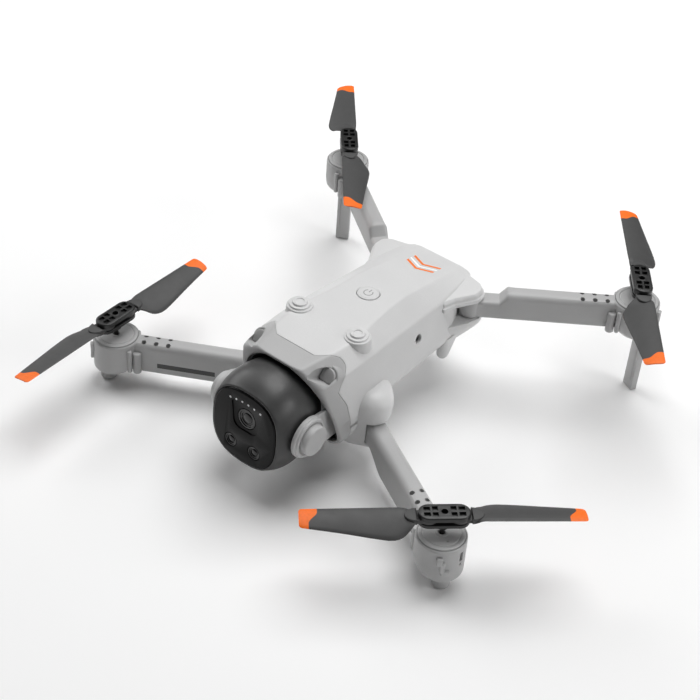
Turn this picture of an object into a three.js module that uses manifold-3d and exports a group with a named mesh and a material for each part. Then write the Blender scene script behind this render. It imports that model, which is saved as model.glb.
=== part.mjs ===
// A folding quadcopter drone with a tilting nose camera, in millimetres.
// +Z is up, the nose points along -Y and the drone's left side is +X. The feet stand on z = 0.
import * as THREE from "three";
import { mergeVertices } from "three/addons/utils/BufferGeometryUtils.js";
import Module from "manifold-3d";

const wasm = await Module();
wasm.setup();

// ---------------------------------------------------------------- driving dimensions
const GAP = 0.3; // clearance between separate pieces
const WALL = 2; // thickness of the moulded shells

// Centre of the outline, so that the origin ends up under the middle of the whole drone.
const OUTLINE_CENTRE = { x: 6.8, y: -6 };

// Body: one row per station along its length, from the tail to the nose.
// top: half width of the flat top; shoulder: outer edge of the chamfer; side: half width;
// tuck: how far the side has turned inwards where the two shells meet.
const BODY_STATIONS = [
  { y: 50, top: 12.5, topZ: 59.6, shoulder: 15, shoulderZ: 58.6, side: 17, tuck: 3 },
  { y: 46.5, top: 14.2, topZ: 60.6, shoulder: 21, shoulderZ: 59.4, side: 23.5, tuck: 4 },
  { y: 40, top: 14.4, topZ: 61.9, shoulder: 22.4, shoulderZ: 59.8, side: 26.6, tuck: 4.6 },
  { y: 18, top: 14.4, topZ: 65.6, shoulder: 25, shoulderZ: 60.2, side: 29.4, tuck: 4.6 },
  { y: -8, top: 14.6, topZ: 69.8, shoulder: 26.3, shoulderZ: 61.4, side: 30, tuck: 4.6 },
  { y: -29, top: 16.2, topZ: 70.2, shoulder: 27.2, shoulderZ: 62.5, side: 30.4, tuck: 4.6 },
  { y: -47, top: 19, topZ: 70.4, shoulder: 27.8, shoulderZ: 63, side: 30.8, tuck: 2 },
  { y: -62, top: 18, topZ: 70.3, shoulder: 27.4, shoulderZ: 63, side: 31, tuck: 0 },
  { y: -74, top: 15.5, topZ: 69.8, shoulder: 26.2, shoulderZ: 62.4, side: 30.8, tuck: 0 },
  { y: -86, top: 13, topZ: 68.9, shoulder: 24.4, shoulderZ: 61, side: 29.6, tuck: 0 },
];
const SIDE_Z = 36; // height of the widest line of the body
const BELLY_Z = 16;
const BELLY_RADIUS = 13; // rounding between the side and the belly
const FULL_TUCK = 4.6; // with this much tuck the rounding becomes a straight slope
const SPLIT_Z = 29; // the upper and lower shells meet here
const RING_TILT = 0.33; // the visor leans forward this much per mm of height
const RING_Y = -75; // front edge of the nose ring at the height RING_Z
const RING_Z = 40;
const NOSE_OPENING = { halfWidth: 28.3, halfHeight: 36, z: 32.1, floor: 18.4 };
// Plan of the joint between the nose bezel and the shells, on one side of the middle.
const BEZEL_SEAM = [[0, -71.3], [12, -71.3], [20.5, -62], [24, -62.5], [26.5, -66.5], [40, -65]];
const LOWER_SEAM = { y: -64, z: 46 }; // below this height the joint runs straight across

const TURRET = { x: 18.4, y: -46.6, radius: 6.8, bottom: 60, top: 73.1 };
const SENSOR = { x: 21.4, y: -70.6, z: 62.2, halfWidth: 4.2, drop: 3.4, rise: 30 };
const BUTTON = { y: -15.1, radius: 5.8, top: 70.5, flange: 7, underside: 66.6 };
const SIDE_HOLE = { y: -7, z: 51, radius: 2.3 };
const BOARD = { halfWidth: 22, front: -44, back: 20, z: 57, thickness: 1.6 };
const BATTERY = { halfWidth: 17, halfHeight: 13, z: 36, front: -52, back: 20 };
const BULKHEAD = { halfWidth: 26.4, halfHeight: 24, z: 43, y: -57, thickness: 1.5 };

// Camera, which tilts about a sideways axis in the nose.
const CAMERA = { y: -90, z: 38.5, radius: 27.2, halfWidth: 23.85, faceDepth: 17 };
const CAMERA_PITCH = THREE.MathUtils.degToRad(-4); // looks up a little at rest
const FACE = { halfWidth: 19.6, halfHeight: 20.6, thickness: 1.6 };
// Lenses on the camera's face, from the middle of the face.
const LENSES = [
  { name: "main_lens", x: 1, z: 6, radius: 5.4, depth: 3.2 },
  { name: "lower_lens_left", x: 7.4, z: -11, radius: 3.6, depth: 2.6 },
  { name: "lower_lens_right", x: -7.4, z: -11, radius: 3.6, depth: 2.6 },
];
const YOKE = { inner: 24.2, arm: 1.4, disc: 3.4, discRadius: 11.2, capRadius: 7.9, cap: 3.4 };
const YOKE_BACK = -59.6; // the bar that joins the yoke's arms, just in front of the bulkhead

// Arms: hinge axis, direction of the unfolded arm and the height of its section.
const ARM_LENGTH = 86; // hinge axis to motor axis
const ARM_HALF_WIDTH = 5.25;
const KNUCKLE_RADIUS = 6.2;
const PIN_RADIUS = 1.6;
const POD_RADIUS = 12.25;
const FOLD = 105; // degrees from unfolded to folded
const FRONT = {
  hinge: [31, -47],
  direction: -29.5,
  // [distance from the hinge, underside, top]
  profile: [[0, 16.5, 29], [13, 16.5, 28.8], [20, 13.2, 28.6], [27, 10.2, 28.5], [77, 10.2, 28.5]],
  capTop: 29.3,
  podBottom: 7.8,
  podShift: [2.4, -0.6],
};
const REAR = {
  hinge: [28.3, 38],
  direction: 36.5,
  profile: [[0, 43.8, 54], [15.5, 43.8, 54], [20.5, 43.8, 59.4], [77, 43.8, 59.6]],
  capTop: 60.5,
  podBottom: 40,
  podShift: [2.4, 1.8],
};
const LEG = { x: 101.7, y: 94.6, width: 7.8, depth: 3.6, top: 39.6, turn: -27 };
const FINGER = { x: 26, y: 20, radius: 3, bottom: 22.5 }; // below each rear hinge bracket
const FOOT = { x: 110.3, y: -91.8, radius: 4.3 };

// Propellers. Heights are measured down from the top of the hub.
const BLADE_REACH = 66;
const HUB = { length: 24.3, width: 10, height: 6.2, aboveCap: 13.4 };
const PIVOT = HUB.length / 2 - HUB.width / 2; // blade pivots, either side of the hub's centre
const CLAMP_THICKNESS = 2.4;
const PLATE_THICKNESS = 1.7;
const BLADE_PLANE = -3.45;
const EYE = { radius: 4.4, thickness: 1.5 };
// Heading of each propeller at rest and the way it turns: 1 anticlockwise seen from above.
const PROPELLERS = {
  front_left: { heading: 43.4, turn: -1 },
  front_right: { heading: 91.6, turn: 1 },
  rear_left: { heading: 126.6, turn: 1 },
  rear_right: { heading: 130.9, turn: -1 },
};

// ---------------------------------------------------------------- materials
function plastic(color, roughness, metalness = 0) {
  return new THREE.MeshStandardMaterial({ color, roughness, metalness });
}
const MATERIALS = {
  shell: plastic(0xd2d2d2, 0.45),
  bezel: plastic(0xbcbcbc, 0.45),
  arm: plastic(0xa4a4a4, 0.5),
  charcoal: plastic(0x3c3c3c, 0.4),
  face: plastic(0x1c1c1c, 0.15),
  lens: plastic(0x080808, 0.05),
  hub: plastic(0x161616, 0.5),
  blade: plastic(0x5c5c5c, 0.55),
  board: plastic(0x1d5a34, 0.5),
  battery: plastic(0x303338, 0.55),
  steel: plastic(0xb4b6ba, 0.3, 1),
};

// ---------------------------------------------------------------- solids
function solid(geometry) {
  const bare = geometry.index ? geometry.clone() : geometry;
  bare.deleteAttribute("normal");
  bare.deleteAttribute("uv");
  const merged = mergeVertices(bare, 1e-4);
  return new wasm.Manifold(
    new wasm.Mesh({
      numProp: 3,
      vertProperties: new Float32Array(merged.attributes.position.array),
      triVerts: new Uint32Array(merged.index.array),
    }),
  );
}

function geometryOf(made) {
  const mesh = made.getMesh();
  const geometry = new THREE.BufferGeometry();
  geometry.setAttribute("position", new THREE.BufferAttribute(mesh.vertProperties, 3));
  geometry.setIndex(new THREE.BufferAttribute(mesh.triVerts, 1));
  return geometry;
}

const join = (...solids) => solids.reduce((all, next) => all.add(next));
const cut = (body, ...tools) => tools.reduce((left, tool) => left.subtract(tool), body);

function box(x0, x1, y0, y1, z0, z1) {
  const geometry = new THREE.BoxGeometry(x1 - x0, y1 - y0, z1 - z0);
  return solid(geometry.translate((x0 + x1) / 2, (y0 + y1) / 2, (z0 + z1) / 2));
}

// A turned shape: profile points are [radius, height], and it starts and ends on the axis.
function turned(profile, x = 0, y = 0, segments = 20) {
  const points = profile.map(([radius, height]) => new THREE.Vector2(radius, height));
  const geometry = new THREE.LatheGeometry(points, segments).rotateX(Math.PI / 2);
  return solid(geometry.translate(x, y, 0));
}

function rod(radius, z0, z1, x = 0, y = 0, segments = 16) {
  return turned([[0, z0], [radius, z0], [radius, z1], [0, z1]], x, y, segments);
}

// The same rod lying along X.
function crossRod(radius, x0, x1, y, z, segments = 28) {
  const geometry = new THREE.CylinderGeometry(radius, radius, x1 - x0, segments);
  return solid(geometry.rotateZ(Math.PI / 2).translate((x0 + x1) / 2, y, z));
}

// An upright prism over a plan outline.
function prism(outline, z0, z1) {
  const shape = Array.isArray(outline)
    ? new THREE.Shape(outline.map((p) => new THREE.Vector2(...p)))
    : outline;
  const options = { depth: z1 - z0, bevelEnabled: false, curveSegments: 5 };
  return solid(new THREE.ExtrudeGeometry(shape, options).translate(0, 0, z0));
}

// Joins equal rings of points into one closed skin. Each station is { at, ring: [[u, v], ...] }
// with the ring anticlockwise, and point(u, v, at) gives its place in space.
function loft(stations, point) {
  const count = stations[0].ring.length;
  const positions = stations.flatMap(({ at, ring }) => ring.flatMap(([u, v]) => point(u, v, at)));
  const faces = [];
  for (let level = 0; level < stations.length - 1; level++) {
    for (let i = 0; i < count; i++) {
      const a = level * count + i;
      const b = level * count + ((i + 1) % count);
      faces.push(a, b, a + count, b, b + count, a + count);
    }
  }
  const last = (stations.length - 1) * count;
  const capOf = (ring) =>
    THREE.ShapeUtils.triangulateShape(ring.map(([u, v]) => new THREE.Vector2(u, v)), []);
  for (const [a, b, c] of capOf(stations[0].ring)) faces.push(a, c, b);
  for (const [a, b, c] of capOf(stations.at(-1).ring)) faces.push(last + a, last + b, last + c);
  const geometry = new THREE.BufferGeometry();
  geometry.setAttribute("position", new THREE.Float32BufferAttribute(positions, 3));
  geometry.setIndex(faces);
  return solid(geometry);
}

const alongNose = (x, z, at) => [x, -at, z];
const alongArm = (y, z, x) => [x, y, z];

function superellipse(halfWidth, halfHeight, exponent, count, centre = 0) {
  return Array.from({ length: count }, (_, i) => {
    const angle = (2 * Math.PI * i) / count;
    const power = 2 / exponent;
    const across = Math.sign(Math.cos(angle)) * Math.abs(Math.cos(angle)) ** power;
    const upward = Math.sign(Math.sin(angle)) * Math.abs(Math.sin(angle)) ** power;
    return [halfWidth * across, centre + halfHeight * upward];
  });
}

const mirrorX = (made) => made.mirror([1, 0, 0]);
const spinAbout = (made, degrees, [x, y]) =>
  made.translate([-x, -y, 0]).rotate([0, 0, degrees]).translate([x, y, 0]);

// ---------------------------------------------------------------- body outline
// One cross section of the body, drawn in x and z. inset shrinks it to the inner wall.
function bodyRing(station, inset) {
  const side = station.side - inset;
  const radius = BELLY_RADIUS - inset * 0.5;
  const floor = BELLY_Z + inset;
  const slope = station.tuck / FULL_TUCK;
  const mix = (first, second) => first + (second - first) * slope;
  const right = [];
  for (const share of [0, 0.25, 0.5, 0.75, 1]) {
    const turn = (Math.PI / 2) * (1 - share);
    const round = [radius * Math.cos(turn), radius - radius * Math.sin(turn)];
    const straight = [(radius - station.tuck) * share, radius * share];
    right.push([side - radius + mix(round[0], straight[0]), floor + mix(round[1], straight[1])]);
  }
  right.push([side, SIDE_Z]);
  right.push([station.shoulder - inset, station.shoulderZ - inset * 0.4]);
  right.push([station.top - inset * 0.4, station.topZ - inset]);
  const left = right.map(([x, z]) => [-x, z]).reverse();
  return [...right, ...left];
}

function bodyLoft(inset, tail = 50, nose = -86) {
  const rows = BODY_STATIONS.filter(({ y }) => y <= tail && y >= nose);
  return loft(rows.map((row) => ({ at: -row.y, ring: bodyRing(row, inset) })), alongNose);
}

// Everything in front of the bezel seam, pushed back by the given gap.
function noseRegion(gap) {
  const right = BEZEL_SEAM.map(([x, y]) => [x, y + gap]);
  const left = right.slice(1).map(([x, y]) => [-x, y]);
  const upper = prism([[-40, -120], [40, -120], ...right.slice().reverse(), ...left], LOWER_SEAM.z, 90);
  return upper.add(box(-40, 40, -120, LOWER_SEAM.y + gap, -5, LOWER_SEAM.z + 1));
}

// The space an arm's root sweeps between unfolded and folded.
function armSweep({ hinge, direction }, z0, z1, side, turn) {
  const reach = 60;
  const half = ARM_HALF_WIDTH + 0.5;
  const steps = 5;
  let sweep = rod(KNUCKLE_RADIUS + 0.6, z0, z1, ...hinge, 24);
  for (let i = 0; i <= steps; i++) {
    const heading = direction + (turn * FOLD * i) / steps;
    const bar = box(hinge[0], hinge[0] + reach, hinge[1] - half, hinge[1] + half, z0, z1);
    sweep = sweep.add(spinAbout(bar, heading, hinge));
  }
  return side > 0 ? sweep : mirrorX(sweep);
}

const bothSides = (make) => [make(1), make(-1)];
const frontSweeps = bothSides((side) => armSweep(FRONT, 16.1, 29.4, side, 1));
const rearSweeps = bothSides((side) => armSweep(REAR, 43.4, 54.4, side, -1));

// ---------------------------------------------------------------- shells
// The flat lip over each rear hinge and the wall below it, as plan outlines from the bottom up.
// The arm sweeps are cut out of it later.
function rearLips() {
  const sloped = loft(
    [
      { at: 43.4, ring: [[24, 14], [26, 15], [35, 34], [35, 40.5], [31, 44.6], [20, 47.4]] },
      { at: 54.5, ring: [[24, 14], [26, 15], [35, 34], [35, 40.5], [31, 44.6], [20, 47.4]] },
      { at: 58.2, ring: [[24, 14], [25.6, 15], [34.6, 34], [34.6, 40.3], [30.6, 44.2], [20, 47]] },
      { at: 59.9, ring: [[20, 15], [24.2, 16], [32.8, 33.6], [32.8, 39.6], [29, 43.2], [18, 46]] },
    ],
    (x, y, z) => [x, y, z],
  );
  return [sloped, mirrorX(sloped)];
}

function outerBody() {
  return join(bodyLoft(0), ...rearLips());
}

function turretHoles(grow) {
  const hole = rod(TURRET.radius + grow, TURRET.bottom - 4, TURRET.top + 5, TURRET.x, TURRET.y);
  return [hole, mirrorX(hole)];
}

function upperShell(outer, inner) {
  const upper = outer.intersect(box(-60, 60, -120, 70, SPLIT_Z + GAP / 2, 90));
  const button = rod(BUTTON.radius + GAP, 60, 90, 0, BUTTON.y);
  const sideHoles = crossRod(SIDE_HOLE.radius, -40, 40, SIDE_HOLE.y, SIDE_HOLE.z, 20);
  const pins = bothSides((side) => rod(PIN_RADIUS + GAP, 40, 58, side * REAR.hinge[0], REAR.hinge[1]));
  return cut(upper, inner, noseRegion(GAP / 2), button, sideHoles, ...turretHoles(GAP),
    ...rearSweeps, ...rearPocketTools(GAP), ...frontHousingTools(GAP), ...pins);
}

function lowerShell(outer, inner) {
  const lower = outer.intersect(box(-60, 60, -120, 70, 0, SPLIT_Z - GAP / 2));
  return cut(lower, inner, noseRegion(GAP / 2), ...frontHousingTools(GAP), ...frontSweeps,
    ...rearPocketTools(GAP));
}

function noseOpening() {
  const { halfWidth, halfHeight, z, floor } = NOSE_OPENING;
  const ring = superellipse(halfWidth, halfHeight, 2, 40, z);
  const tube = loft([{ at: 50, ring }, { at: 110, ring }], alongNose);
  return tube.intersect(box(-60, 60, -120, -40, floor, 90)).intersect(bodyLoft(WALL));
}

// A slab in front of the leaning edge of the nose ring.
function visorCut() {
  const edge = (z) => RING_Y - RING_TILT * (z - RING_Z);
  const profile = [[-130, 0], [edge(0), 0], [edge(90), 90], [-130, 90]];
  return loft([-60, 60].map((x) => ({ at: x, ring: profile })), (y, z, x) => [x, y, z]);
}

// An arched bar that points forward and up out of the sensor window. near and far are
// distances from the window's plane.
function sensorArch(side, near, far, shrink) {
  const half = SENSOR.halfWidth - shrink;
  const shape = new THREE.Shape();
  shape.moveTo(-half, shrink - SENSOR.drop);
  shape.lineTo(half, shrink - SENSOR.drop);
  shape.lineTo(half, 0);
  shape.absarc(0, 0, half, 0, Math.PI, false);
  const options = { depth: far - near, bevelEnabled: false, curveSegments: 8 };
  const geometry = new THREE.ExtrudeGeometry(shape, options).translate(0, 0, near);
  const aim = Math.PI / 2 - THREE.MathUtils.degToRad(SENSOR.rise);
  return solid(geometry.rotateX(aim).translate(side * SENSOR.x, SENSOR.y, SENSOR.z));
}

function noseBezel(outer) {
  const nose = outer.intersect(noseRegion(-GAP / 2));
  const pockets = bothSides((side) => sensorArch(side, 0, 16, 0));
  return cut(nose, visorCut(), noseOpening(), ...pockets, ...frontHousingTools(GAP));
}

function noseBulkhead() {
  const { halfWidth, halfHeight, z, y, thickness } = BULKHEAD;
  const ring = superellipse(halfWidth, halfHeight, 2.6, 40, z);
  const plate = loft([{ at: -y, ring }, { at: thickness - y, ring }], alongNose);
  return plate.intersect(box(-60, 60, -120, 0, BELLY_Z + WALL + 1, 66));
}

// ---------------------------------------------------------------- hinge housings
// The front shoulder: a rounded boss that carries the front hinge, swept back along the side.
function shoulderRing(z, reach, back) {
  const [x, y] = FRONT.hinge;
  const ring = [[20, y - 9 + (9.6 - reach) * 0.4]];
  for (let angle = -100; angle <= 30; angle += 26) {
    const turn = THREE.MathUtils.degToRad(angle);
    ring.push([x + reach * Math.cos(turn), y + reach * Math.sin(turn)]);
  }
  ring.push([x + reach * 0.5, y + back * 0.75], [x - 1, y + back], [20, y + back]);
  return { at: z, ring };
}

function shoulderSolid(grow = 0) {
  const rows = [
    shoulderRing(11.6 - grow, 6.8 + grow, 8 + grow),
    shoulderRing(14.5, 8.6 + grow, 10 + grow),
    shoulderRing(28, 9.3 + grow, 15 + grow),
    shoulderRing(36, 10.4 + grow, 17 + grow),
    shoulderRing(41, 8.8 + grow, 15 + grow),
    shoulderRing(44 + grow, 4.4 + grow, 10 + grow),
  ];
  return loft(rows, (x, y, z) => [x, y, z]);
}

function frontHousingTools(grow) {
  const tool = shoulderSolid(grow);
  return [tool, mirrorX(tool)];
}

function frontHousing() {
  const hole = rod(PIN_RADIUS + GAP, 13.2, 34.2, ...FRONT.hinge);
  return cut(shoulderSolid(), frontSweeps[0], hole);
}

// The bracket under the rear arm's knuckle: a wedge that grows out of the side, and a short
// rounded finger below it.
function rearBracketRing(z, reach, grow) {
  const [x, y] = REAR.hinge;
  const ring = [[17, 13 - grow], [25, 13 - grow], [x + reach * 0.7, y - reach * 1.2]];
  for (let angle = -30; angle <= 100; angle += 26) {
    const turn = THREE.MathUtils.degToRad(angle);
    ring.push([x + reach * Math.cos(turn), y + reach * Math.sin(turn)]);
  }
  ring.push([17, y + 6.4 + grow]);
  return { at: z, ring };
}

function rearBracketSolid(grow = 0) {
  const rows = [
    rearBracketRing(31 - grow, 0.6 + grow, grow),
    rearBracketRing(36, 4.2 + grow, grow),
    rearBracketRing(41, 6.8 + grow, grow),
    rearBracketRing(43.1 + grow, 6.8 + grow, grow),
  ];
  const { x, y, radius, bottom } = FINGER;
  const finger = rod(radius + grow, bottom - grow, 36, x, y, 12);
  return loft(rows, (u, v, z) => [u, v, z]).add(finger);
}

function rearPocketTools(grow) {
  const tool = rearBracketSolid(grow);
  return [tool, mirrorX(tool)];
}

function rearBracket() {
  return cut(rearBracketSolid(), rod(PIN_RADIUS + GAP, 36, 50, ...REAR.hinge));
}

// ---------------------------------------------------------------- inner and small parts
function turret() {
  const { radius, bottom, top, x, y } = TURRET;
  const steps = [
    [0, bottom], [radius, bottom], [radius, top - 2.8], [6, top - 2.1], [5.6, top - 2],
    [5.4, top - 1.1], [4, top - 0.9], [3.7, top], [2.4, top], [2.1, top - 0.6], [0, top - 0.6],
  ];
  return turned(steps, x, y, 16);
}

function powerButton() {
  const { radius, top, flange, underside, y } = BUTTON;
  const profile = [
    [0, underside - 1.4], [1.8, underside - 1.4], [1.8, underside], [flange, underside],
    [flange, underside + 0.8], [radius, underside + 0.8], [radius, top], [0, top],
  ];
  return turned(profile, 0, y, 22);
}

function circuitBoard() {
  const { halfWidth, front, back, z, thickness } = BOARD;
  const top = z + thickness;
  const board = box(-halfWidth, halfWidth, front, back, z, top);
  const chips = box(-9, 9, front + 8, front + 22, top - 0.2, top + 1.8);
  const dome = rod(2.6, top - 0.2, BUTTON.underside - 3.2, 0, BUTTON.y, 24);
  return join(board, chips, dome);
}

function batteryPack() {
  const { halfWidth, halfHeight, z, front, back } = BATTERY;
  const ring = superellipse(halfWidth, halfHeight, 7, 32, z);
  return loft([{ at: -back, ring }, { at: -front, ring }], alongNose);
}

function motor(arm) {
  const top = arm.capTop - 2.6;
  const profile = [
    [0, top - 12], [8.6, top - 12], [9.6, top - 11], [9.6, top - 1], [8.6, top],
    [1.6, top], [1.6, top - 3], [0, top - 3],
  ];
  return turned(profile, ARM_LENGTH, 0, 14);
}

function motorCap(arm) {
  const top = arm.capTop;
  const profile = [
    [1.7, top - 1.6], [11.2, top - 1.6], [11.2, top - 0.5], [10.4, top], [8.9, top],
    [8.6, top - 0.5], [3, top - 0.5], [2.6, top - 0.2], [1.7, top - 0.2], [1.7, top - 1.6],
  ];
  const points = profile.map(([radius, height]) => new THREE.Vector2(radius, height));
  const geometry = new THREE.LatheGeometry(points, 18).rotateX(Math.PI / 2);
  return solid(geometry.translate(ARM_LENGTH, 0, 0));
}

// ---------------------------------------------------------------- arms
function armRing(bottom, top, halfWidth) {
  const bevel = 2.4;
  const foot = 1;
  return [
    [halfWidth - foot, bottom], [halfWidth, bottom + foot], [halfWidth, top - bevel],
    [halfWidth - 0.7, top - 0.7], [halfWidth - bevel, top], [bevel - halfWidth, top],
    [0.7 - halfWidth, top - 0.7], [-halfWidth, top - bevel], [-halfWidth, bottom + foot],
    [foot - halfWidth, bottom],
  ];
}

const circle = (radius, x, y, count = 18) =>
  superellipse(radius, radius, 2, count).map(([u, v]) => [u + x, v + y]);

// The motor pod: a drum whose foot narrows towards the outside, in the arm's own frame.
function pod(arm, shift) {
  const { capTop, podBottom } = arm;
  const [sx, sy] = shift;
  const rows = [
    [podBottom, 9, 1], [podBottom + 0.8, 10.2, 0.9], [podBottom + 4.5, 11.7, 0.3],
    [podBottom + 8, POD_RADIUS, 0], [capTop - 1.4, POD_RADIUS, 0], [capTop - 0.5, 11.6, 0],
  ];
  const stations = rows.map(([z, radius, follow]) => ({
    at: z,
    ring: circle(radius, ARM_LENGTH + sx * follow, sy * follow),
  }));
  return loft(stations, (x, y, z) => [x, y, z]);
}

// World offsets from the motor axis, turned into the frame of the unfolded arm.
function inArmFrame([x, y], degrees) {
  const turn = THREE.MathUtils.degToRad(-degrees);
  return [x * Math.cos(turn) - y * Math.sin(turn), x * Math.sin(turn) + y * Math.cos(turn)];
}

function motorCentre(arm) {
  const turn = THREE.MathUtils.degToRad(arm.direction);
  return [arm.hinge[0] + ARM_LENGTH * Math.cos(turn), arm.hinge[1] + ARM_LENGTH * Math.sin(turn)];
}

function ventHoles(arm) {
  const top = arm.profile.at(-1)[2];
  const holes = [];
  for (const along of [57.5, 64, 70.5]) {
    for (const side of [-1, 1]) holes.push(rod(0.85, top - 3, top + 2, along, side * 3, 6));
  }
  return holes;
}

// One arm moulding in its own frame: hinge at the origin, motor at ARM_LENGTH along X.
function armMoulding(arm, isFront) {
  const bar = loft(
    arm.profile.map(([x, bottom, top]) => ({ at: x, ring: armRing(bottom, top, ARM_HALF_WIDTH) })),
    alongArm,
  );
  const [, rootBottom, rootTop] = arm.profile[0];
  const knuckle = rod(KNUCKLE_RADIUS, rootBottom, rootTop);
  const podBody = pod(arm, inArmFrame(arm.podShift, arm.direction));
  const bosses = [-1, 1].map((side) =>
    rod(2.2, arm.podBottom + 1.2, arm.capTop - 6, ARM_LENGTH - 12.4, side * 6, 8));
  let body = join(knuckle, bar, podBody, ...bosses);
  if (isFront) {
    const centre = motorCentre(arm);
    const offset = inArmFrame([FOOT.x - centre[0], FOOT.y - centre[1]], arm.direction);
    body = body.add(turned(
      [[0, 0], [FOOT.radius - 1, 0], [FOOT.radius, 1], [FOOT.radius, 12], [0, 12]],
      ARM_LENGTH + offset[0], offset[1], 12,
    ));
  } else {
    body = body.add(rearBump());
  }
  const well = rod(10.2, arm.capTop - 15.4, arm.capTop + 1, ARM_LENGTH, 0, 14);
  const capSeat = rod(11.2 + GAP, arm.capTop - 1.9, arm.capTop + 1, ARM_LENGTH, 0, 18);
  const pinHole = rod(PIN_RADIUS + GAP, rootBottom - 1, rootTop + 1);
  return cut(body, well, capSeat, pinHole, ...ventHoles(arm));
}

// A rounded stop on the step between the rear arm's neck and its full height.
function rearBump() {
  const radius = 2.6;
  const geometry = new THREE.CylinderGeometry(radius, radius, 6, 14);
  return solid(geometry.translate(16.6, 0, 55.6));
}

// ---------------------------------------------------------------- rear legs
function rearLeg() {
  const { x, y, width, depth, top, turn } = LEG;
  const section = (inset) => {
    const u = width / 2 - inset;
    const v = depth / 2 - inset;
    return [[-u, -v], [u, -v], [u, v], [-u, v]];
  };
  const rows = [{ at: 0, ring: section(0.3) }, { at: 0.3, ring: section(0) }, { at: top, ring: section(0) }];
  return loft(rows, (u, v, z) => [u, v, z]).rotate([0, 0, turn]).translate([x, y, 0]);
}

// ---------------------------------------------------------------- camera
function cameraPod() {
  const { radius, halfWidth, faceDepth } = CAMERA;
  const rows = [];
  for (const depth of [24.6, 20, 13, 5, -4, -9, -faceDepth]) {
    const height = Math.sqrt(radius * radius - depth * depth);
    const forward = Math.max(0, -depth) / faceDepth;
    const backward = Math.max(0, depth) / 24.6;
    const width = halfWidth - 3.25 * forward ** 2 - 13.75 * backward ** 3;
    rows.push({ at: -depth, ring: superellipse(width, height, 2.25, 24) });
  }
  const shell = loft(rows, alongNose);
  const { halfWidth: a, halfHeight: b, thickness } = FACE;
  const ring = superellipse(a + GAP, b + GAP, 2.25, 24);
  const seat = loft([{ at: faceDepth - thickness, ring }, { at: 30, ring }], alongNose);
  return cut(shell, seat);
}

function cameraFace() {
  const { halfWidth, halfHeight, thickness } = FACE;
  const back = CAMERA.faceDepth - thickness + GAP;
  const ring = superellipse(halfWidth, halfHeight, 2.25, 24);
  const plate = loft([{ at: back, ring }, { at: back + thickness + 0.4, ring }], alongNose);
  const holes = LENSES.map(({ x, z, radius }) => noseRod(radius + GAP, 0, 40, x, z));
  return cut(plate, ...holes);
}

function noseRod(radius, near, far, x, z, segments = 16) {
  const geometry = new THREE.CylinderGeometry(radius, radius, far - near, segments);
  return solid(geometry.translate(x, -(near + far) / 2, z));
}

function lens({ x, z, radius, depth }) {
  const back = CAMERA.faceDepth - FACE.thickness + GAP;
  return noseRod(radius, back, back + depth - 1, x, z);
}

function pitched(made) {
  return made.rotate([THREE.MathUtils.radToDeg(CAMERA_PITCH), 0, 0])
    .translate([0, CAMERA.y, CAMERA.z]);
}

function cameraYoke() {
  const { inner, arm, disc, discRadius } = YOKE;
  const { y, z } = CAMERA;
  const sides = bothSides((side) => {
    const plate = box(inner, inner + arm, y, YOKE_BACK, z - 12, z - 1);
    const round = crossRod(discRadius, inner, inner + disc, y, z);
    const made = plate.add(round);
    return side > 0 ? made : mirrorX(made);
  });
  const back = box(-inner - arm, inner + arm, YOKE_BACK - 1.6, YOKE_BACK, z - 12, z - 1);
  return join(back, ...sides);
}

function yokeCap() {
  const { inner, disc, capRadius, cap } = YOKE;
  return crossRod(capRadius, inner + disc + GAP, inner + disc + cap, CAMERA.y, CAMERA.z);
}

// ---------------------------------------------------------------- propellers
// Pieces of a propeller stand on the motor axis with the hub's top at z = 0.
function stadium(length, width) {
  const half = (length - width) / 2;
  const shape = new THREE.Shape();
  shape.moveTo(-half, -width / 2);
  shape.lineTo(half, -width / 2);
  shape.absarc(half, 0, width / 2, -Math.PI / 2, Math.PI / 2, false);
  shape.lineTo(-half, width / 2);
  shape.absarc(-half, 0, width / 2, Math.PI / 2, 1.5 * Math.PI, false);
  return shape;
}

function hub() {
  const plateTop = -HUB.height + PLATE_THICKNESS;
  const plate = prism(stadium(HUB.length, HUB.width), -HUB.height, plateTop);
  const boss = rod(2.3, -HUB.height, -CLAMP_THICKNESS - GAP, 0, 0, 10);
  const collar = rod(2.7, -HUB.height - 3.4, -HUB.height + 0.2, 0, 0, 12);
  const shaft = rod(1.1, -HUB.aboveCap - 4.8, -HUB.height, 0, 0, 8);
  const posts = [-1, 1].map((side) =>
    rod(1.2, plateTop - 0.2, -CLAMP_THICKNESS - GAP, side * PIVOT, 0, 8));
  return join(plate, boss, collar, shaft, ...posts);
}

function hubClamp() {
  const plate = prism(stadium(HUB.length, HUB.width), -CLAMP_THICKNESS, 0);
  const pockets = [];
  for (const side of [-1, 1]) {
    for (const row of [-1, 1]) {
      const inner = side > 0 ? [2.6, 5.4] : [-5.4, -2.6];
      const outer = side > 0 ? [6.4, 9.8] : [-9.8, -6.4];
      const rows = row > 0 ? [0.5, 3.2] : [-3.2, -0.5];
      pockets.push(box(...inner, ...rows, -1.2, 1), box(...outer, ...rows, -1.2, 1));
    }
  }
  return cut(plate, rod(1.3, -3, 1, 0, 0, 10), ...pockets);
}

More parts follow.
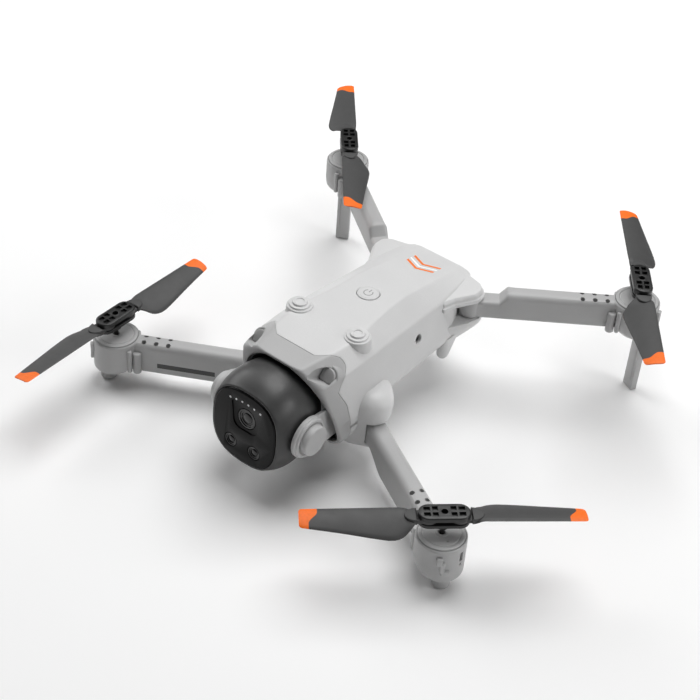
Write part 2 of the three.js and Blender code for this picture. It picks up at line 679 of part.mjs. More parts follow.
// Blade section: a thin cambered strip from the trailing edge to the leading edge.
function bladeRing(radius) {
  const root = THREE.MathUtils.clamp((radius - 12.8) / 6.5, 0, 1);
  const along = THREE.MathUtils.clamp((radius - 19) / (BLADE_REACH - 19), 0, 1);
  const leading = THREE.MathUtils.lerp(3.6, 5.6, Math.sqrt(root)) - 0.3 * along;
  const trailing = THREE.MathUtils.lerp(3.6, 13.8, Math.sqrt(root)) - 8.4 * along;
  const pitch = THREE.MathUtils.degToRad(THREE.MathUtils.lerp(15, 8, along) * root);
  const thick = THREE.MathUtils.lerp(1.5, 0.9, along);
  const tip = radius > BLADE_REACH - 1 ? 1.2 : 0;
  const front = leading - tip;
  const back = -trailing + tip;
  const chord = front - back;
  const flat = [
    [back, 0], [back + chord * 0.3, -thick * 0.35], [front - chord * 0.25, -thick * 0.5],
    [front, 0], [front - chord * 0.25, thick * 0.6], [back + chord * 0.35, thick * 0.55],
  ];
  return flat.map(([across, up]) => [
    across * Math.cos(pitch) - up * Math.sin(pitch),
    across * Math.sin(pitch) + up * Math.cos(pitch),
  ]);
}

// One blade pointing along +X, with its leading edge on the side it turns towards.
function blade(turn) {
  const radii = [12.8, 14.4, 17, 21, 40, BLADE_REACH - 1.4, BLADE_REACH];
  const wing = loft(
    radii.map((radius) => ({ at: radius, ring: bladeRing(radius) })),
    (y, z, x) => [x, y, z + BLADE_PLANE],
  );
  const half = EYE.thickness / 2;
  const eye = rod(EYE.radius, BLADE_PLANE - half, BLADE_PLANE + half, PIVOT, 0, 10);
  const neck = box(PIVOT, 14.4, -3.3, 3.3, BLADE_PLANE - half, BLADE_PLANE + half);
  const shoulder = prism(shoulderOutline(), BLADE_PLANE - half, BLADE_PLANE + 1.9);
  const made = cut(join(eye, neck, shoulder, wing), rod(1.5, -9, 3, PIVOT, 0, 8));
  return turn > 0 ? made : made.mirror([0, 1, 0]);
}

// The raised half disc where the blade leaves the hub, drawn in plan.
function shoulderOutline() {
  const shape = new THREE.Shape();
  const start = 12.9;
  shape.moveTo(start, -3.9);
  shape.quadraticCurveTo(18.2, -3.4, 18.2, 0);
  shape.quadraticCurveTo(18.2, 3.4, start, 3.9);
  return shape;
}

// ---------------------------------------------------------------- assembly
const drone = new THREE.Group();
const parts = new THREE.Group();
parts.position.set(-OUTLINE_CENTRE.x, -OUTLINE_CENTRE.y, 0);
drone.add(parts);

function add(parent, name, made, material) {
  const mesh = new THREE.Mesh(geometryOf(made), MATERIALS[material]);
  mesh.name = name;
  parent.add(mesh);
}

function addPair(parent, name, made, material) {
  add(parent, name + "_left", made, material);
  add(parent, name + "_right", mirrorX(made), material);
}

function addBody() {
  const outer = outerBody();
  const inner = join(bodyLoft(WALL, 46.5, -62), noseOpening());
  add(parts, "upper_shell", upperShell(outer, inner), "shell");
  add(parts, "lower_shell", lowerShell(outer, inner), "shell");
  add(parts, "nose_bezel", noseBezel(outer), "bezel");
  add(parts, "nose_bulkhead", noseBulkhead(), "charcoal");
  add(parts, "circuit_board", circuitBoard(), "board");
  add(parts, "battery_pack", batteryPack(), "battery");
  add(parts, "power_button", powerButton(), "shell");
  addPair(parts, "sensor_turret", turret(), "shell");
  addPair(parts, "sensor_window", sensorArch(1, GAP, 1.5, GAP), "charcoal");
  addPair(parts, "front_hinge_housing", frontHousing(), "shell");
  addPair(parts, "rear_hinge_bracket", rearBracket(), "shell");
  addPair(parts, "front_hinge_pin", rod(PIN_RADIUS, 13.6, 33.8, ...FRONT.hinge, 24), "steel");
  addPair(parts, "rear_hinge_pin", rod(PIN_RADIUS, 36.4, 57.6, ...REAR.hinge, 24), "steel");
}

function addCamera() {
  add(parts, "camera_yoke", cameraYoke(), "arm");
  addPair(parts, "yoke_cap", yokeCap(), "arm");
  add(parts, "camera_pod", pitched(cameraPod()), "charcoal");
  add(parts, "camera_face", pitched(cameraFace()), "face");
  for (const row of LENSES) add(parts, row.name, pitched(lens(row)), "lens");
}

// An arm's pieces share a group at the hinge, turned to the unfolded direction.
function addArm(corner, arm, side) {
  const isFront = arm === FRONT;
  const group = new THREE.Group();
  group.position.set(side * arm.hinge[0], arm.hinge[1], 0);
  group.rotation.z = THREE.MathUtils.degToRad(side > 0 ? arm.direction : 180 - arm.direction);
  parts.add(group);
  const moulding = armMoulding(arm, isFront);
  const placed = side > 0 ? moulding : moulding.mirror([0, 1, 0]);
  add(group, "arm_" + corner, placed, "arm");
  add(group, "motor_" + corner, motor(arm), "steel");
  add(group, "motor_cap_" + corner, motorCap(arm), "arm");
}

function addPropeller(corner, arm, side) {
  const { heading, turn } = PROPELLERS[corner];
  const [x, y] = motorCentre(arm);
  const group = new THREE.Group();
  group.position.set(side * x, y, arm.capTop + HUB.aboveCap);
  group.rotation.z = THREE.MathUtils.degToRad(heading);
  parts.add(group);
  add(group, "hub_" + corner, hub(), "hub");
  add(group, "hub_clamp_" + corner, hubClamp(), "hub");
  const made = blade(turn);
  add(group, "blade_a_" + corner, made, "blade");
  add(group, "blade_b_" + corner, made.rotate([0, 0, 180]), "blade");
}

addBody();
addCamera();
for (const [corner, arm, side] of [
  ["front_left", FRONT, 1],
  ["front_right", FRONT, -1],
  ["rear_left", REAR, 1],
  ["rear_right", REAR, -1],
]) {
  addArm(corner, arm, side);
  addPropeller(corner, arm, side);
}
addPair(parts, "rear_leg", rearLeg(), "arm");

export default drone;
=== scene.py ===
"""Looks of a folding quadcopter drone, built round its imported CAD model.

Shapes are drawn in millimetres in the drone's own frame: the nose points along -Y, the drone's
left side is +X, the middle of the body is x = 0 and the feet stand on z = 0.
"""

from math import atan2, copysign, cos, pi, radians, sin, sqrt, tan

import bmesh
import bpy
from mathutils import Matrix, Vector


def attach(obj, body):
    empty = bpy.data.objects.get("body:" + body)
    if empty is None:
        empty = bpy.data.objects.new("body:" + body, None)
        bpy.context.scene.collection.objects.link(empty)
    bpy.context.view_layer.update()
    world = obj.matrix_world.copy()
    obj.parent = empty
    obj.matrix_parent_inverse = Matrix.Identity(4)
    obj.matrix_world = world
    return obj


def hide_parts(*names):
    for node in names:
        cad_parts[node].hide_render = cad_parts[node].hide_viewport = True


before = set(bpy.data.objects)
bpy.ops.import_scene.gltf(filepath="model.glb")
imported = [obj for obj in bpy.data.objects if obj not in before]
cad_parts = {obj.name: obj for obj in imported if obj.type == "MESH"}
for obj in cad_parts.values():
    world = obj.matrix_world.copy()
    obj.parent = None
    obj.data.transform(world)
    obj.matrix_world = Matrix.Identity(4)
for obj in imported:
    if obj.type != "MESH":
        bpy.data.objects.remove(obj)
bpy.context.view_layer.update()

MM = 0.001
BODY_MIDDLE = Vector((-6.8, 6.0, 0.0))  # where the drone's own frame sits in the row frame
TO_ROW = Matrix.Scale(MM, 4) @ Matrix.Translation(BODY_MIDDLE)
SIDES = ((1, "left"), (-1, "right"))

# ---------------------------------------------------------------- driving dimensions
SEAM_GAP = 0.3
WALL = 2.0

# Body sections from the tail to the nose: y, half width of the flat top, its height, outer edge of
# the chamfer, its height, half width of the sides, and how far the sides have turned in at SPLIT_Z.
STATIONS = [
    (50, 12.5, 59.6, 15, 58.6, 17, 3),
    (46.5, 14.2, 60.6, 21, 59.4, 23.5, 4),
    (40, 14.4, 61.9, 22.4, 59.8, 26.6, 4.6),
    (18, 14.4, 65.6, 25, 60.2, 29.4, 4.6),
    (-8, 14.6, 69.8, 26.3, 61.4, 30, 4.6),
    (-29, 16.2, 70.2, 27.2, 62.5, 30.4, 4.6),
    (-47, 19, 70.4, 27.8, 63, 30.8, 2),
    (-62, 18, 70.3, 27.4, 63, 31, 0),
    (-74, 15.5, 69.8, 26.2, 62.4, 30.8, 0),
    (-86, 13, 68.9, 24.4, 61, 29.6, 0),
]
FULL_TUCK = 4.6  # with this much tuck the rounding below the sides becomes a straight slope
TAIL_Y, TAIL_ROUND = 50, 2.2
SIDE_Z = 36
BELLY_Z, BELLY_RADIUS, BELLY_STEPS = 16, 13, 8
SPLIT_Z, SPLIT_GAP = 29, 0.16
RING_Y, RING_Z, RING_TILT = -75, 40, 0.33  # the nose ring's leaning front plane
# The ring's opening: its oval, cut off at floor, the least width of the face round it, and its lip.
OPENING = {"half_width": 28.3, "half_height": 36, "z": 32.1, "floor": 18.4, "rim": 2.2, "lip": 0.7}
# The dark tube of painted shade inside the ring: where it starts and ends, and how far inside the
# opening its walls run.
SHADE_TUBE = {"behind_ring": 1.6, "back": -58.8, "outer": 0.15, "inner": 0.75}
# Joint between the bezel and the shells on one side, as (x, z, y) going down the section.
SEAM = [
    (0, 70, -71.3), (12, 70, -71.3), (20.5, 67, -62), (23.8, 64.6, -62.2), (26.8, 62.4, -66),
    (27.4, 56, -71.5), (28.5, 46, -66.3), (30.6, 33, -63.8), (28, 21, -62.8), (0, 16, -62.6),
]

TURRET = {"x": 18.4, "y": -46.6, "top": 73.1}
SENSOR = {"x": 21.4, "y": -70.6, "z": 62.2, "half": 4.2, "drop": 3.4, "rise": 30}
BUTTON = {"y": -15.1, "radius": 5.8, "top": 70.5, "symbol": 2.3, "stroke": 0.5}
SIDE_HOLE = {"y": -7, "z": 51, "radius": 2.6}

CAMERA = {
    "y": -90, "z": 38.5, "radius": 27.2, "half_width": 23.85, "face": 17, "back": 24.6, "rim": 0.9,
}
CAMERA_PITCH = -4
POD_ROUNDNESS = 2.25  # exponent of the housing's outline behind the pivot, where 2 is a plain ellipse
OUTLINE_POINTS = 96
FACE = {
    "half_width": 19.6, "half_height": 20.6, "thickness": 1.6, "squareness": 2.65, "proud": 0.7,
    "recess": 0.7, "edge": 0.9,
}
FACE_FRONT = CAMERA["face"] + FACE["proud"]
FACE_BACK = CAMERA["face"] - FACE["thickness"] + SEAM_GAP
# Each lens: name, its CAD node, place on the face, radius, and how far it stands on the face's back.
LENSES = [
    ("main", "main_lens", 1.0, 6.0, 5.4, 1.3),
    ("lower_left", "lower_lens_left", 7.4, -11, 3.6, 1.9),
    ("lower_right", "lower_lens_right", -7.4, -11, 3.6, 1.9),
]
DOTS = {"count": 6, "first": -9.5, "pitch": 3.8, "z": 15.2, "sag": 0.012, "radius": 0.55}
YOKE = {"inner": 24.2, "arm": 1.4, "disc": 3.4, "disc_radius": 11.2, "cap_radius": 7.9, "cap": 3.4}
YOKE_BACK = -59.6

ARM_LENGTH = 86
ARM_HALF_WIDTH = 5.25
KNUCKLE_RADIUS = 6.2
POD_RADIUS = 12.25
FOLD = 105
SWEEP_GAP = {"bar": 0.5, "knuckle": 0.6}  # room round the arm's root in the body
PIN_HOLE_RADIUS = 1.9
MOTOR_WELL = {"radius": 10.2, "depth": 15.4, "seat_radius": 11.5, "seat_depth": 1.9}
# Each kind of arm: hinge, heading in degrees, heights of the cap, the pod and the bar's root, how
# far the pod's foot leans out, the heights it needs clear to fold, and the way it folds.
FRONT = {
    "hinge": (31, -47), "direction": -29.5, "cap_top": 29.3, "pod_bottom": 7.8,
    "root": (16.5, 29), "pod_shift": (2.4, -0.6), "sweep": (16.1, 29.5), "fold_way": 1,
}
REAR = {
    "hinge": (28.3, 38), "direction": 36.5, "cap_top": 60.5, "pod_bottom": 40,
    "root": (43.8, 54), "pod_shift": (2.4, 1.8), "sweep": (43.4, 54.4), "fold_way": -1,
}
# The stepped rib on a motor pod: heading round the pod, lowest and highest point, and width.
RELIEF = [(-26, 1.0, 5.8, 3.0), (-19, -3.4, 2.6, 2.2), (-12, -5.4, -2.6, 4.2)]
SLOT_HEADING = 28
VENT = {"radius": 1.25, "across": 2.5, "depth": 4.5, "places": (57.5, 64, 70.5)}
LEG = {"x": 101.7, "y": 94.6, "width": 7.8, "depth": 3.6, "top": 39.6, "turn": -27}
FOOT = {"x": 110.3, "y": -91.8, "radius": 4.3}
# The finger below a rear hinge, as levels of height, half width and lean towards the tail.
FINGER = {
    "x": 26, "y": 20,
    "levels": [(22.5, 1.6, 0), (22.9, 2.3, 0), (23.8, 2.9, 0.1), (25, 3.1, 0.4), (36, 3.2, 4)],
}

BLADE_REACH = 66
BLADE_START = 12.8
BLADE_PLANE = -3.45
BLADE_HALF = 0.9  # half the thickness of a blade's root
HUB = {"length": 24.3, "width": 10, "height": 6.2, "above_cap": 13.4, "clamp": 2.4, "plate": 1.7}
PIVOT = (HUB["length"] - HUB["width"]) / 2
# Each corner: arm, side (1 is the drone's left), heading of the propeller and the way it turns.
CORNERS = {
    "front_left": (FRONT, 1, 43.4, -1),
    "front_right": (FRONT, -1, 91.6, 1),
    "rear_left": (REAR, 1, 126.6, 1),
    "rear_right": (REAR, -1, 130.9, -1),
}


# ---------------------------------------------------------------- numbers and placing
def mix(a, b, t):
    return a + (b - a) * t


def clamp(t, low=0.0, high=1.0):
    return max(low, min(high, t))


def ease(t):
    t = clamp(t)
    return t * t * (3 - 2 * t)


class Track:
    """A smooth curve through values given at rising or falling places."""

    def __init__(self, places, values):
        order = sorted(range(len(places)), key=lambda i: places[i])
        self.x = [places[i] for i in order]
        self.v = [values[i] for i in order]
        rise = [(b - a) / (d - c) for a, b, c, d in
                zip(self.v, self.v[1:], self.x, self.x[1:])]
        self.slope = [rise[0]]
        for a, b in zip(rise, rise[1:]):
            self.slope.append(0.0 if a * b <= 0 else 2 * a * b / (a + b))
        self.slope.append(rise[-1])

    def __call__(self, place):
        place = clamp(place, self.x[0], self.x[-1])
        i = max(k for k in range(len(self.x) - 1) if self.x[k] <= place)
        width = self.x[i + 1] - self.x[i]
        t = (place - self.x[i]) / width
        a, b = self.v[i], self.v[i + 1]
        m, n = self.slope[i] * width, self.slope[i + 1] * width
        return (a * (2 * t**3 - 3 * t**2 + 1) + m * (t**3 - 2 * t**2 + t)
                + b * (3 * t**2 - 2 * t**3) + n * (t**3 - t**2))


def shift(x, y, z):
    return Matrix.Translation((x, y, z))


def spin(degrees, axis="Z"):
    return Matrix.Rotation(radians(degrees), 4, axis)


def to_side(side):
    """Keeps a shape on the drone's left for 1, and mirrors it to the right for -1."""
    return Matrix.Scale(side, 4, (1, 0, 0))


# ---------------------------------------------------------------- outlines
def arc(radius, start, sweep, steps, x=0.0, y=0.0):
    """Points along part of a circle round (x, y), from start through sweep, both in radians."""
    angles = [start + sweep * k / steps for k in range(steps + 1)]
    return [(x + radius * cos(angle), y + radius * sin(angle)) for angle in angles]


def circle(radius, x, y, z, count=72):
    return level(arc(radius, 0, 2 * pi, count, x, y)[:-1], z)


def level(outline, z):
    """A plan outline lifted to height z."""
    return [(u, v, z) for u, v in outline]


def rounding(steps, first=1):
    """How far in and how far up an edge of radius 1 runs on its quarter circle, step by step."""
    angles = [pi / 2 * k / steps for k in range(first, steps + 1)]
    return [(1 - cos(angle), sin(angle)) for angle in angles]


def curve(start, bend, end, t):
    """A point on the curve that leaves start towards bend and comes from bend into end."""
    return start * (1 - t) ** 2 + bend * 2 * t * (1 - t) + end * t**2


def filleted(corners, steps=5, closed=True):
    """The corners (u, v, radius) joined by straight runs, each corner rounded to its radius."""
    points = []
    count = len(corners)
    for i, (u, v, radius) in enumerate(corners):
        at_end = not closed and i in (0, count - 1)
        if radius <= 0 or at_end:
            points.append((u, v))
            continue
        here = Vector((u, v))
        before = Vector(corners[i - 1][:2]) - here
        after = Vector(corners[(i + 1) % count][:2]) - here
        half = before.angle(after) / 2
        before.normalize()
        after.normalize()
        reach = radius / tan(half)
        start = here + before * reach
        end = here + after * reach
        centre = here + (before + after).normalized() * (radius / sin(half))
        first = atan2(start.y - centre.y, start.x - centre.x)
        last = atan2(end.y - centre.y, end.x - centre.x)
        turn = (last - first + pi) % (2 * pi) - pi
        points += arc(radius, first, turn, steps, centre.x, centre.y)
    return points


def offset_ring(outline, inset):
    """An anticlockwise closed outline moved inwards."""
    if not inset:
        return list(outline)
    count = len(outline)
    made = []
    for i in range(count):
        here = Vector(outline[i])
        along = (Vector(outline[(i + 1) % count]) - Vector(outline[i - 1])).normalized()
        made.append(tuple(here + Vector((-along.y, along.x)) * inset))
    return made


def stadium(length, width, steps=12):
    half, radius = (length - width) / 2, width / 2
    return arc(radius, -pi / 2, pi, steps, half) + arc(radius, pi / 2, pi, steps, -half)


def superellipse(half_width, half_height, power):
    points = []
    for i in range(OUTLINE_POINTS):
        angle = 2 * pi * i / OUTLINE_POINTS
        c, s = cos(angle), sin(angle)
        u = copysign(abs(c) ** (2 / power), c)
        v = copysign(abs(s) ** (2 / power), s)
        points.append((half_width * u, half_height * v))
    return points


# ---------------------------------------------------------------- meshes
def linked(name, data):
    made = bpy.data.objects.new(name, data)
    bpy.context.scene.collection.objects.link(made)
    return made


def temporary(verts, faces):
    """A working object from points and faces, its faces turned outwards."""
    mesh = bpy.data.meshes.new("working")
    mesh.from_pydata([tuple(v) for v in verts], [], faces)
    made = bmesh.new()
    made.from_mesh(mesh)
    bmesh.ops.remove_doubles(made, verts=made.verts, dist=1e-5)
    bmesh.ops.recalc_face_normals(made, faces=made.faces)
    made.to_mesh(mesh)
    made.free()
    return linked("working", mesh)


def apply_modifiers(piece):
    graph = bpy.context.evaluated_depsgraph_get()
    mesh = bpy.data.meshes.new_from_object(piece.evaluated_get(graph), depsgraph=graph)
    piece.modifiers.clear()
    piece.data = mesh
    return piece


def combine(body, tools, operation):
    """Cuts the tools from a shape or joins them to it, and removes the tools."""
    for tool in tools:
        step = body.modifiers.new("combine", "BOOLEAN")
        step.operation = operation
        step.solver = "EXACT"
        step.object = tool
    apply_modifiers(body)
    for tool in tools:
        bpy.data.objects.remove(tool)
    return body


def cut(body, *tools):
    return combine(body, tools, "DIFFERENCE")


def join(body, *tools):
    return combine(body, tools, "UNION")


def bevel(piece, width, steps=2, angle=32):
    """Rounds the edges sharper than angle."""
    step = piece.modifiers.new("bevel", "BEVEL")
    step.width = width
    step.segments = steps
    step.limit_method = "ANGLE"
    step.angle_limit = radians(angle)
    step.use_clamp_overlap = True
    step.miter_outer = "MITER_ARC"
    return apply_modifiers(piece)


def moved(piece, matrix):
    piece.data.transform(matrix)
    if matrix.determinant() < 0:
        piece.data.flip_normals()
    return piece


def mirrored(piece):
    return moved(linked("working", piece.data.copy()), to_side(-1))


def grid(rows, closed=False, looped=False):
    """A sheet over equal rows of points. closed joins each row's last point to its first, and
    looped joins the last row to the first."""
    count = len(rows[0])
    verts = [p for row in rows for p in row]
    faces = []
    for row in range(len(rows) if looped else len(rows) - 1):
        here, following = row * count, (row + 1) % len(rows) * count
        for i in range(count if closed else count - 1):
            n = (i + 1) % count
            faces.append((here + i, here + n, following + n, following + i))
    return verts, faces


def loft(rings):
    """Joins equal closed rings of points into one skin, closed at both ends."""
    verts, faces = grid(rings, closed=True)
    count = len(rings[0])
    last = (len(rings) - 1) * count
    faces += [tuple(range(count)), tuple(range(last, last + count))]
    return temporary(verts, faces)


def turned(profile, x=0.0, y=0.0, steps=64, fillet_steps=3):
    """A lathe shape about an upright axis. The profile (radius, height, fillet) starts and ends
    on the axis, or closes on itself as a ring."""
    looped = profile[0][0] > 0
    points = filleted(profile, fillet_steps, closed=looped)
    rings = [circle(radius, x, y, height, steps) for radius, height in points]
    return temporary(*grid(rings, closed=True, looped=looped))


def raised(profile, base):
    """A lathe profile with its heights counted from base."""
    return [(radius, base + height, fillet) for radius, height, fillet in profile]


def rod(radius, low, high, x=0.0, y=0.0, steps=32, fillet=0.0):
    profile = [(0, low, 0), (radius, low, fillet), (radius, high, fillet), (0, high, 0)]
    return turned(profile, x, y, steps)


def along_x(piece, y, z):
    """Lays an upright shape down so that its own z runs along +X, through (0, y, z)."""
    return moved(piece, shift(0, y, z) @ spin(90, "Y"))


def box(x0, x1, y0, y1, z0, z1):
    return loft([level([(x0, y0), (x1, y0), (x1, y1), (x0, y1)], z) for z in (z0, z1)])


def prism(outline, low, high, edge, edge_steps=3):
    """An upright prism over a plan outline, its top edge rounded by edge."""
    levels = [(low, 0.0)]
    levels += [(high - edge + edge * rise, edge * inset) for inset, rise in rounding(edge_steps, 0)]
    return loft([level(offset_ring(outline, inset), z) for z, inset in levels])


def ribbons(strips, height, sink, stand):
    """Thin closed strips of ink, each a list of (left, right) edge points. height gives the height
    of the surface at y, and the ink runs from sink below it to stand above it."""
    verts, faces = [], []
    for strip in strips:
        base = len(verts)
        for edges in strip:
            for x, y in edges:
                verts += [(x, y, height(y) - sink), (x, y, height(y) + stand)]
        for i in range(len(strip) - 1):
            a, b = base + 4 * i, base + 4 * (i + 1)
            faces += [(a + 1, b + 1, b + 3, a + 3), (a, a + 2, b + 2, b),
                      (a, b, b + 1, a + 1), (a + 2, a + 3, b + 3, b + 2)]
        end = base + 4 * (len(strip) - 1)
        faces += [(base, base + 1, base + 3, base + 2), (end, end + 2, end + 3, end + 1)]
    return temporary(verts, faces)


# ---------------------------------------------------------------- materials
# Sizes of the marks in moulded plastic, in waves per metre.
BLOTCH_WAVES, SPECK_WAVES, GLOSS_WAVES = 55, 1900, 140


def tune(made, **sockets):
    for name, value in sockets.items():
        made.inputs[name.replace("_", " ")].default_value = value
    return made


def node(tree, kind, **sockets):
    return tune(tree.nodes.new(kind), **sockets)


def new_material(name):
    made = bpy.data.materials.new(name)
    made.use_nodes = True
    return made, made.node_tree, made.node_tree.nodes["Principled BSDF"]


def noise(tree, scale, detail=3.0, rough=0.55):
    """Noise over the piece itself, with scale in waves per metre."""
    place = tree.nodes.new("ShaderNodeTexCoord")
    made = node(tree, "ShaderNodeTexNoise", Scale=scale, Detail=detail, Roughness=rough)
    tree.links.new(place.outputs["Object"], made.inputs["Vector"])
    return made.outputs["Fac"]


def spread(tree, value, low, high):
    """Maps noise, which stays near a half, onto the range from low to high."""
    made = node(tree, "ShaderNodeMapRange", From_Min=0.3, From_Max=0.7, To_Min=low, To_Max=high)
    tree.links.new(value, made.inputs["Value"])
    return made.outputs["Result"]


def mixed(tree, factor, first, second):
    """A mix of two colours, where each of the three inputs is a socket or a plain value."""
    made = tree.nodes.new("ShaderNodeMix")
    made.data_type = "RGBA"
    factor_input, first_input, second_input, colour_output = 0, 6, 7, 2
    for socket, value in ((factor_input, factor), (first_input, first), (second_input, second)):
        if isinstance(value, bpy.types.NodeSocket):
            tree.links.new(value, made.inputs[socket])
        else:
            made.inputs[socket].default_value = value
    return made.outputs[colour_output]


def shade(colour, factor):
    return tuple(clamp(c * factor) for c in colour[:3]) + (1.0,)


def linear(grey_or_rgb):
    """sRGB values, 0 to 255, as a linear colour."""
    rgb = grey_or_rgb if isinstance(grey_or_rgb, tuple) else (grey_or_rgb,) * 3
    return tuple((c / 255 / 12.92) if c <= 10 else ((c / 255 + 0.055) / 1.055) ** 2.4
                 for c in rgb) + (1.0,)


def moulded(name, colour, rough, grain=2600, depth=0.02, blotch=0.035, coat=0.0, metal=0.0,
            shine=0.5):
    """Moulded plastic: soft shade blotches, fine speckle, uneven gloss and a spark-eroded grain."""
    made, tree, shader = new_material(name)
    tune(shader, Metallic=metal, Specular_IOR_Level=shine, Coat_Weight=coat, Coat_Roughness=0.12)
    wide = spread(tree, noise(tree, BLOTCH_WAVES, 4.0), 0, 1)
    base = mixed(tree, wide, shade(colour, 1 - blotch), shade(colour, 1 + blotch))
    speck = spread(tree, noise(tree, SPECK_WAVES, 2.0), 0, 1)
    base = mixed(tree, speck, base, shade(colour, 0.97))
    tree.links.new(base, shader.inputs["Base Color"])
    gloss = spread(tree, noise(tree, GLOSS_WAVES, 5.0, 0.65), rough - 0.06, rough + 0.07)
    tree.links.new(gloss, shader.inputs["Roughness"])
    bump = node(tree, "ShaderNodeBump", Strength=depth * 10, Distance=0.0001)
    tree.links.new(noise(tree, grain, 2.0), bump.inputs["Height"])
    tree.links.new(bump.outputs["Normal"], shader.inputs["Normal"])
    return made


def turned_metal(name, colour, rough):
    """Machined metal with fine rings round the upright axis."""
    made = moulded(name, colour, rough, grain=1200, depth=0.01, blotch=0.05, metal=1.0)
    tree = made.node_tree
    place = tree.nodes.new("ShaderNodeTexCoord")
    rings = node(tree, "ShaderNodeTexWave", Scale=900.0, Distortion=1.2, Detail=2.0)
    rings.bands_direction = "Z"
    tree.links.new(place.outputs["Object"], rings.inputs["Vector"])
    tree.links.new(spread(tree, rings.outputs["Fac"], rough - 0.08, rough + 0.1),
                   tree.nodes["Principled BSDF"].inputs["Roughness"])
    return made


def painted_tip(name, body_colour, tip_colour, rough):
    """Blade plastic whose orange tip starts where the mesh's tip value crosses zero."""
    made = moulded(name, body_colour, rough, grain=3000, depth=0.03, blotch=0.06)
    tree = made.node_tree
    shader = tree.nodes["Principled BSDF"]
    plain = shader.inputs["Base Color"].links[0].from_socket
    value = tree.nodes.new("ShaderNodeAttribute")
    value.attribute_name = "tip"
    edge = node(tree, "ShaderNodeMapRange", From_Min=-0.12, From_Max=0.12)
    tree.links.new(value.outputs["Fac"], edge.inputs["Value"])
    wear = spread(tree, noise(tree, 700, 4.0), 0, 1)
    paint = mixed(tree, wear, shade(tip_colour, 0.94), shade(tip_colour, 1.05))
    tree.links.new(mixed(tree, edge.outputs["Result"], plain, paint), shader.inputs["Base Color"])
    return made


SHELL = moulded("shell_plastic", linear(213), 0.42)
# The bezel's grey is the shell's grey made darker: painted shade for the bezel's forward-sloping top.
SHADED_BEZEL_GREY = moulded("bezel_plastic_with_painted_shade", linear(178), 0.42)
ARM = moulded("arm_plastic", linear(181), 0.46)
YOKE_GREY = moulded("yoke_plastic", linear(190), 0.45)
CHARCOAL = moulded("charcoal_plastic", linear(58), 0.4, blotch=0.05)
# Dark grey that stands in for the shade inside the nose ring, used on the painted shade tube and the
# nose bulkhead.
NOSE_SHADE_DARK = moulded("painted_nose_shade", linear(52), 0.6)
WINDOW = moulded("window_plastic", linear(176), 0.4)
FACE_BLACK = moulded("face_plastic", linear(10), 0.22, grain=500, depth=0.004, shine=0.14)
LENS_BLACK = moulded("lens_glass", linear(9), 0.05, grain=300, depth=0.002, coat=0.4, shine=0.3)
HUB_BLACK = moulded("hub_nylon", linear(30), 0.36, depth=0.03)
BLADE = painted_tip("blade_nylon", linear(66), linear((250, 112, 0)), 0.55)
BOARD = moulded("board_mask", linear((26, 92, 54)), 0.35)
BATTERY = moulded("battery_wrap", linear((48, 51, 56)), 0.4)
STEEL = turned_metal("steel", linear(196), 0.3)
ORANGE = moulded("orange_ink", linear((250, 128, 50)), 0.45, depth=0.006)
WHITE = moulded("white_ink", linear(252), 0.45, depth=0.006)
GREY_INK = moulded("grey_ink", linear(150), 0.5, depth=0.006)
DARK_INK = moulded("dark_ink", linear(70), 0.5, depth=0.006)


# ---------------------------------------------------------------- pieces
def finish_piece(piece, name, material, body, replaces=(), place=None, sharp=32):
    """Moves a working object into the row frame, in metres, and hands it to its body."""
    if place is not None:
        moved(piece, place)
    moved(piece, TO_ROW)
    piece.name = name
    piece.data.name = name
    piece.data.materials.clear()
    piece.data.materials.append(material)
    piece.data.shade_smooth()
    piece.data.set_sharp_from_angle(angle=radians(sharp))
    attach(piece, body)
    if replaces:
        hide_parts(*replaces)
    return piece


# ---------------------------------------------------------------- body surface
TRACKS = [Track([row[0] for row in STATIONS], [row[i] for row in STATIONS]) for i in range(1, 7)]
STRAIGHT = {"belly": 5, "low": 3, "side": 8, "chamfer": 5, "top": 14}  # steps along straight runs
CORNER_STEPS = 5  # so each rounded corner has six points


def subdivided(start, end, count):
    return [(mix(start[0], end[0], k / count), mix(start[1], end[1], k / count))
            for k in range(1, count)]


def half_section(y):
    """One half of the body's section, from the middle of the belly up to the middle of the top.
    The number of points never changes, so that the rows of the skin line up."""
    top, top_z, shoulder, shoulder_z, side, tuck = (track(y) for track in TRACKS)
    tuck = clamp(tuck, 0, FULL_TUCK)
    slope = tuck / FULL_TUCK
    belly = [(0, BELLY_Z)]
    for k in range(BELLY_STEPS + 1):
        share = k / BELLY_STEPS
        angle = pi / 2 * (1 - share)
        across = mix(BELLY_RADIUS * cos(angle), (BELLY_RADIUS - tuck) * share, slope)
        up = mix(BELLY_RADIUS * (1 - sin(angle)), BELLY_RADIUS * share, slope)
        belly.append((side - BELLY_RADIUS + across, BELLY_Z + up))
    upper = filleted([
        (side - tuck, SPLIT_Z, 0), (side, SIDE_Z, 9), (shoulder, shoulder_z, 2.6),
        (top, top_z, 3.6), (0, top_z, 0),
    ], CORNER_STEPS, False)
    points = [belly[0], *subdivided(belly[0], belly[1], STRAIGHT["belly"]), *belly[1:]]
    runs = [STRAIGHT["low"], STRAIGHT["side"], STRAIGHT["chamfer"], STRAIGHT["top"]]
    blocks = [upper[0:1], upper[1:7], upper[7:13], upper[13:19], upper[19:]]
    for block, following, count in zip(blocks, blocks[1:], runs):
        points += block[1:] if block is blocks[0] else block
        points += subdivided(block[-1], following[0], count)
    points.append(blocks[-1][0])
    return points


SPLIT_INDEX = STRAIGHT["belly"] + BELLY_STEPS  # the point at SPLIT_Z
HALF_COUNT = len(half_section(0))


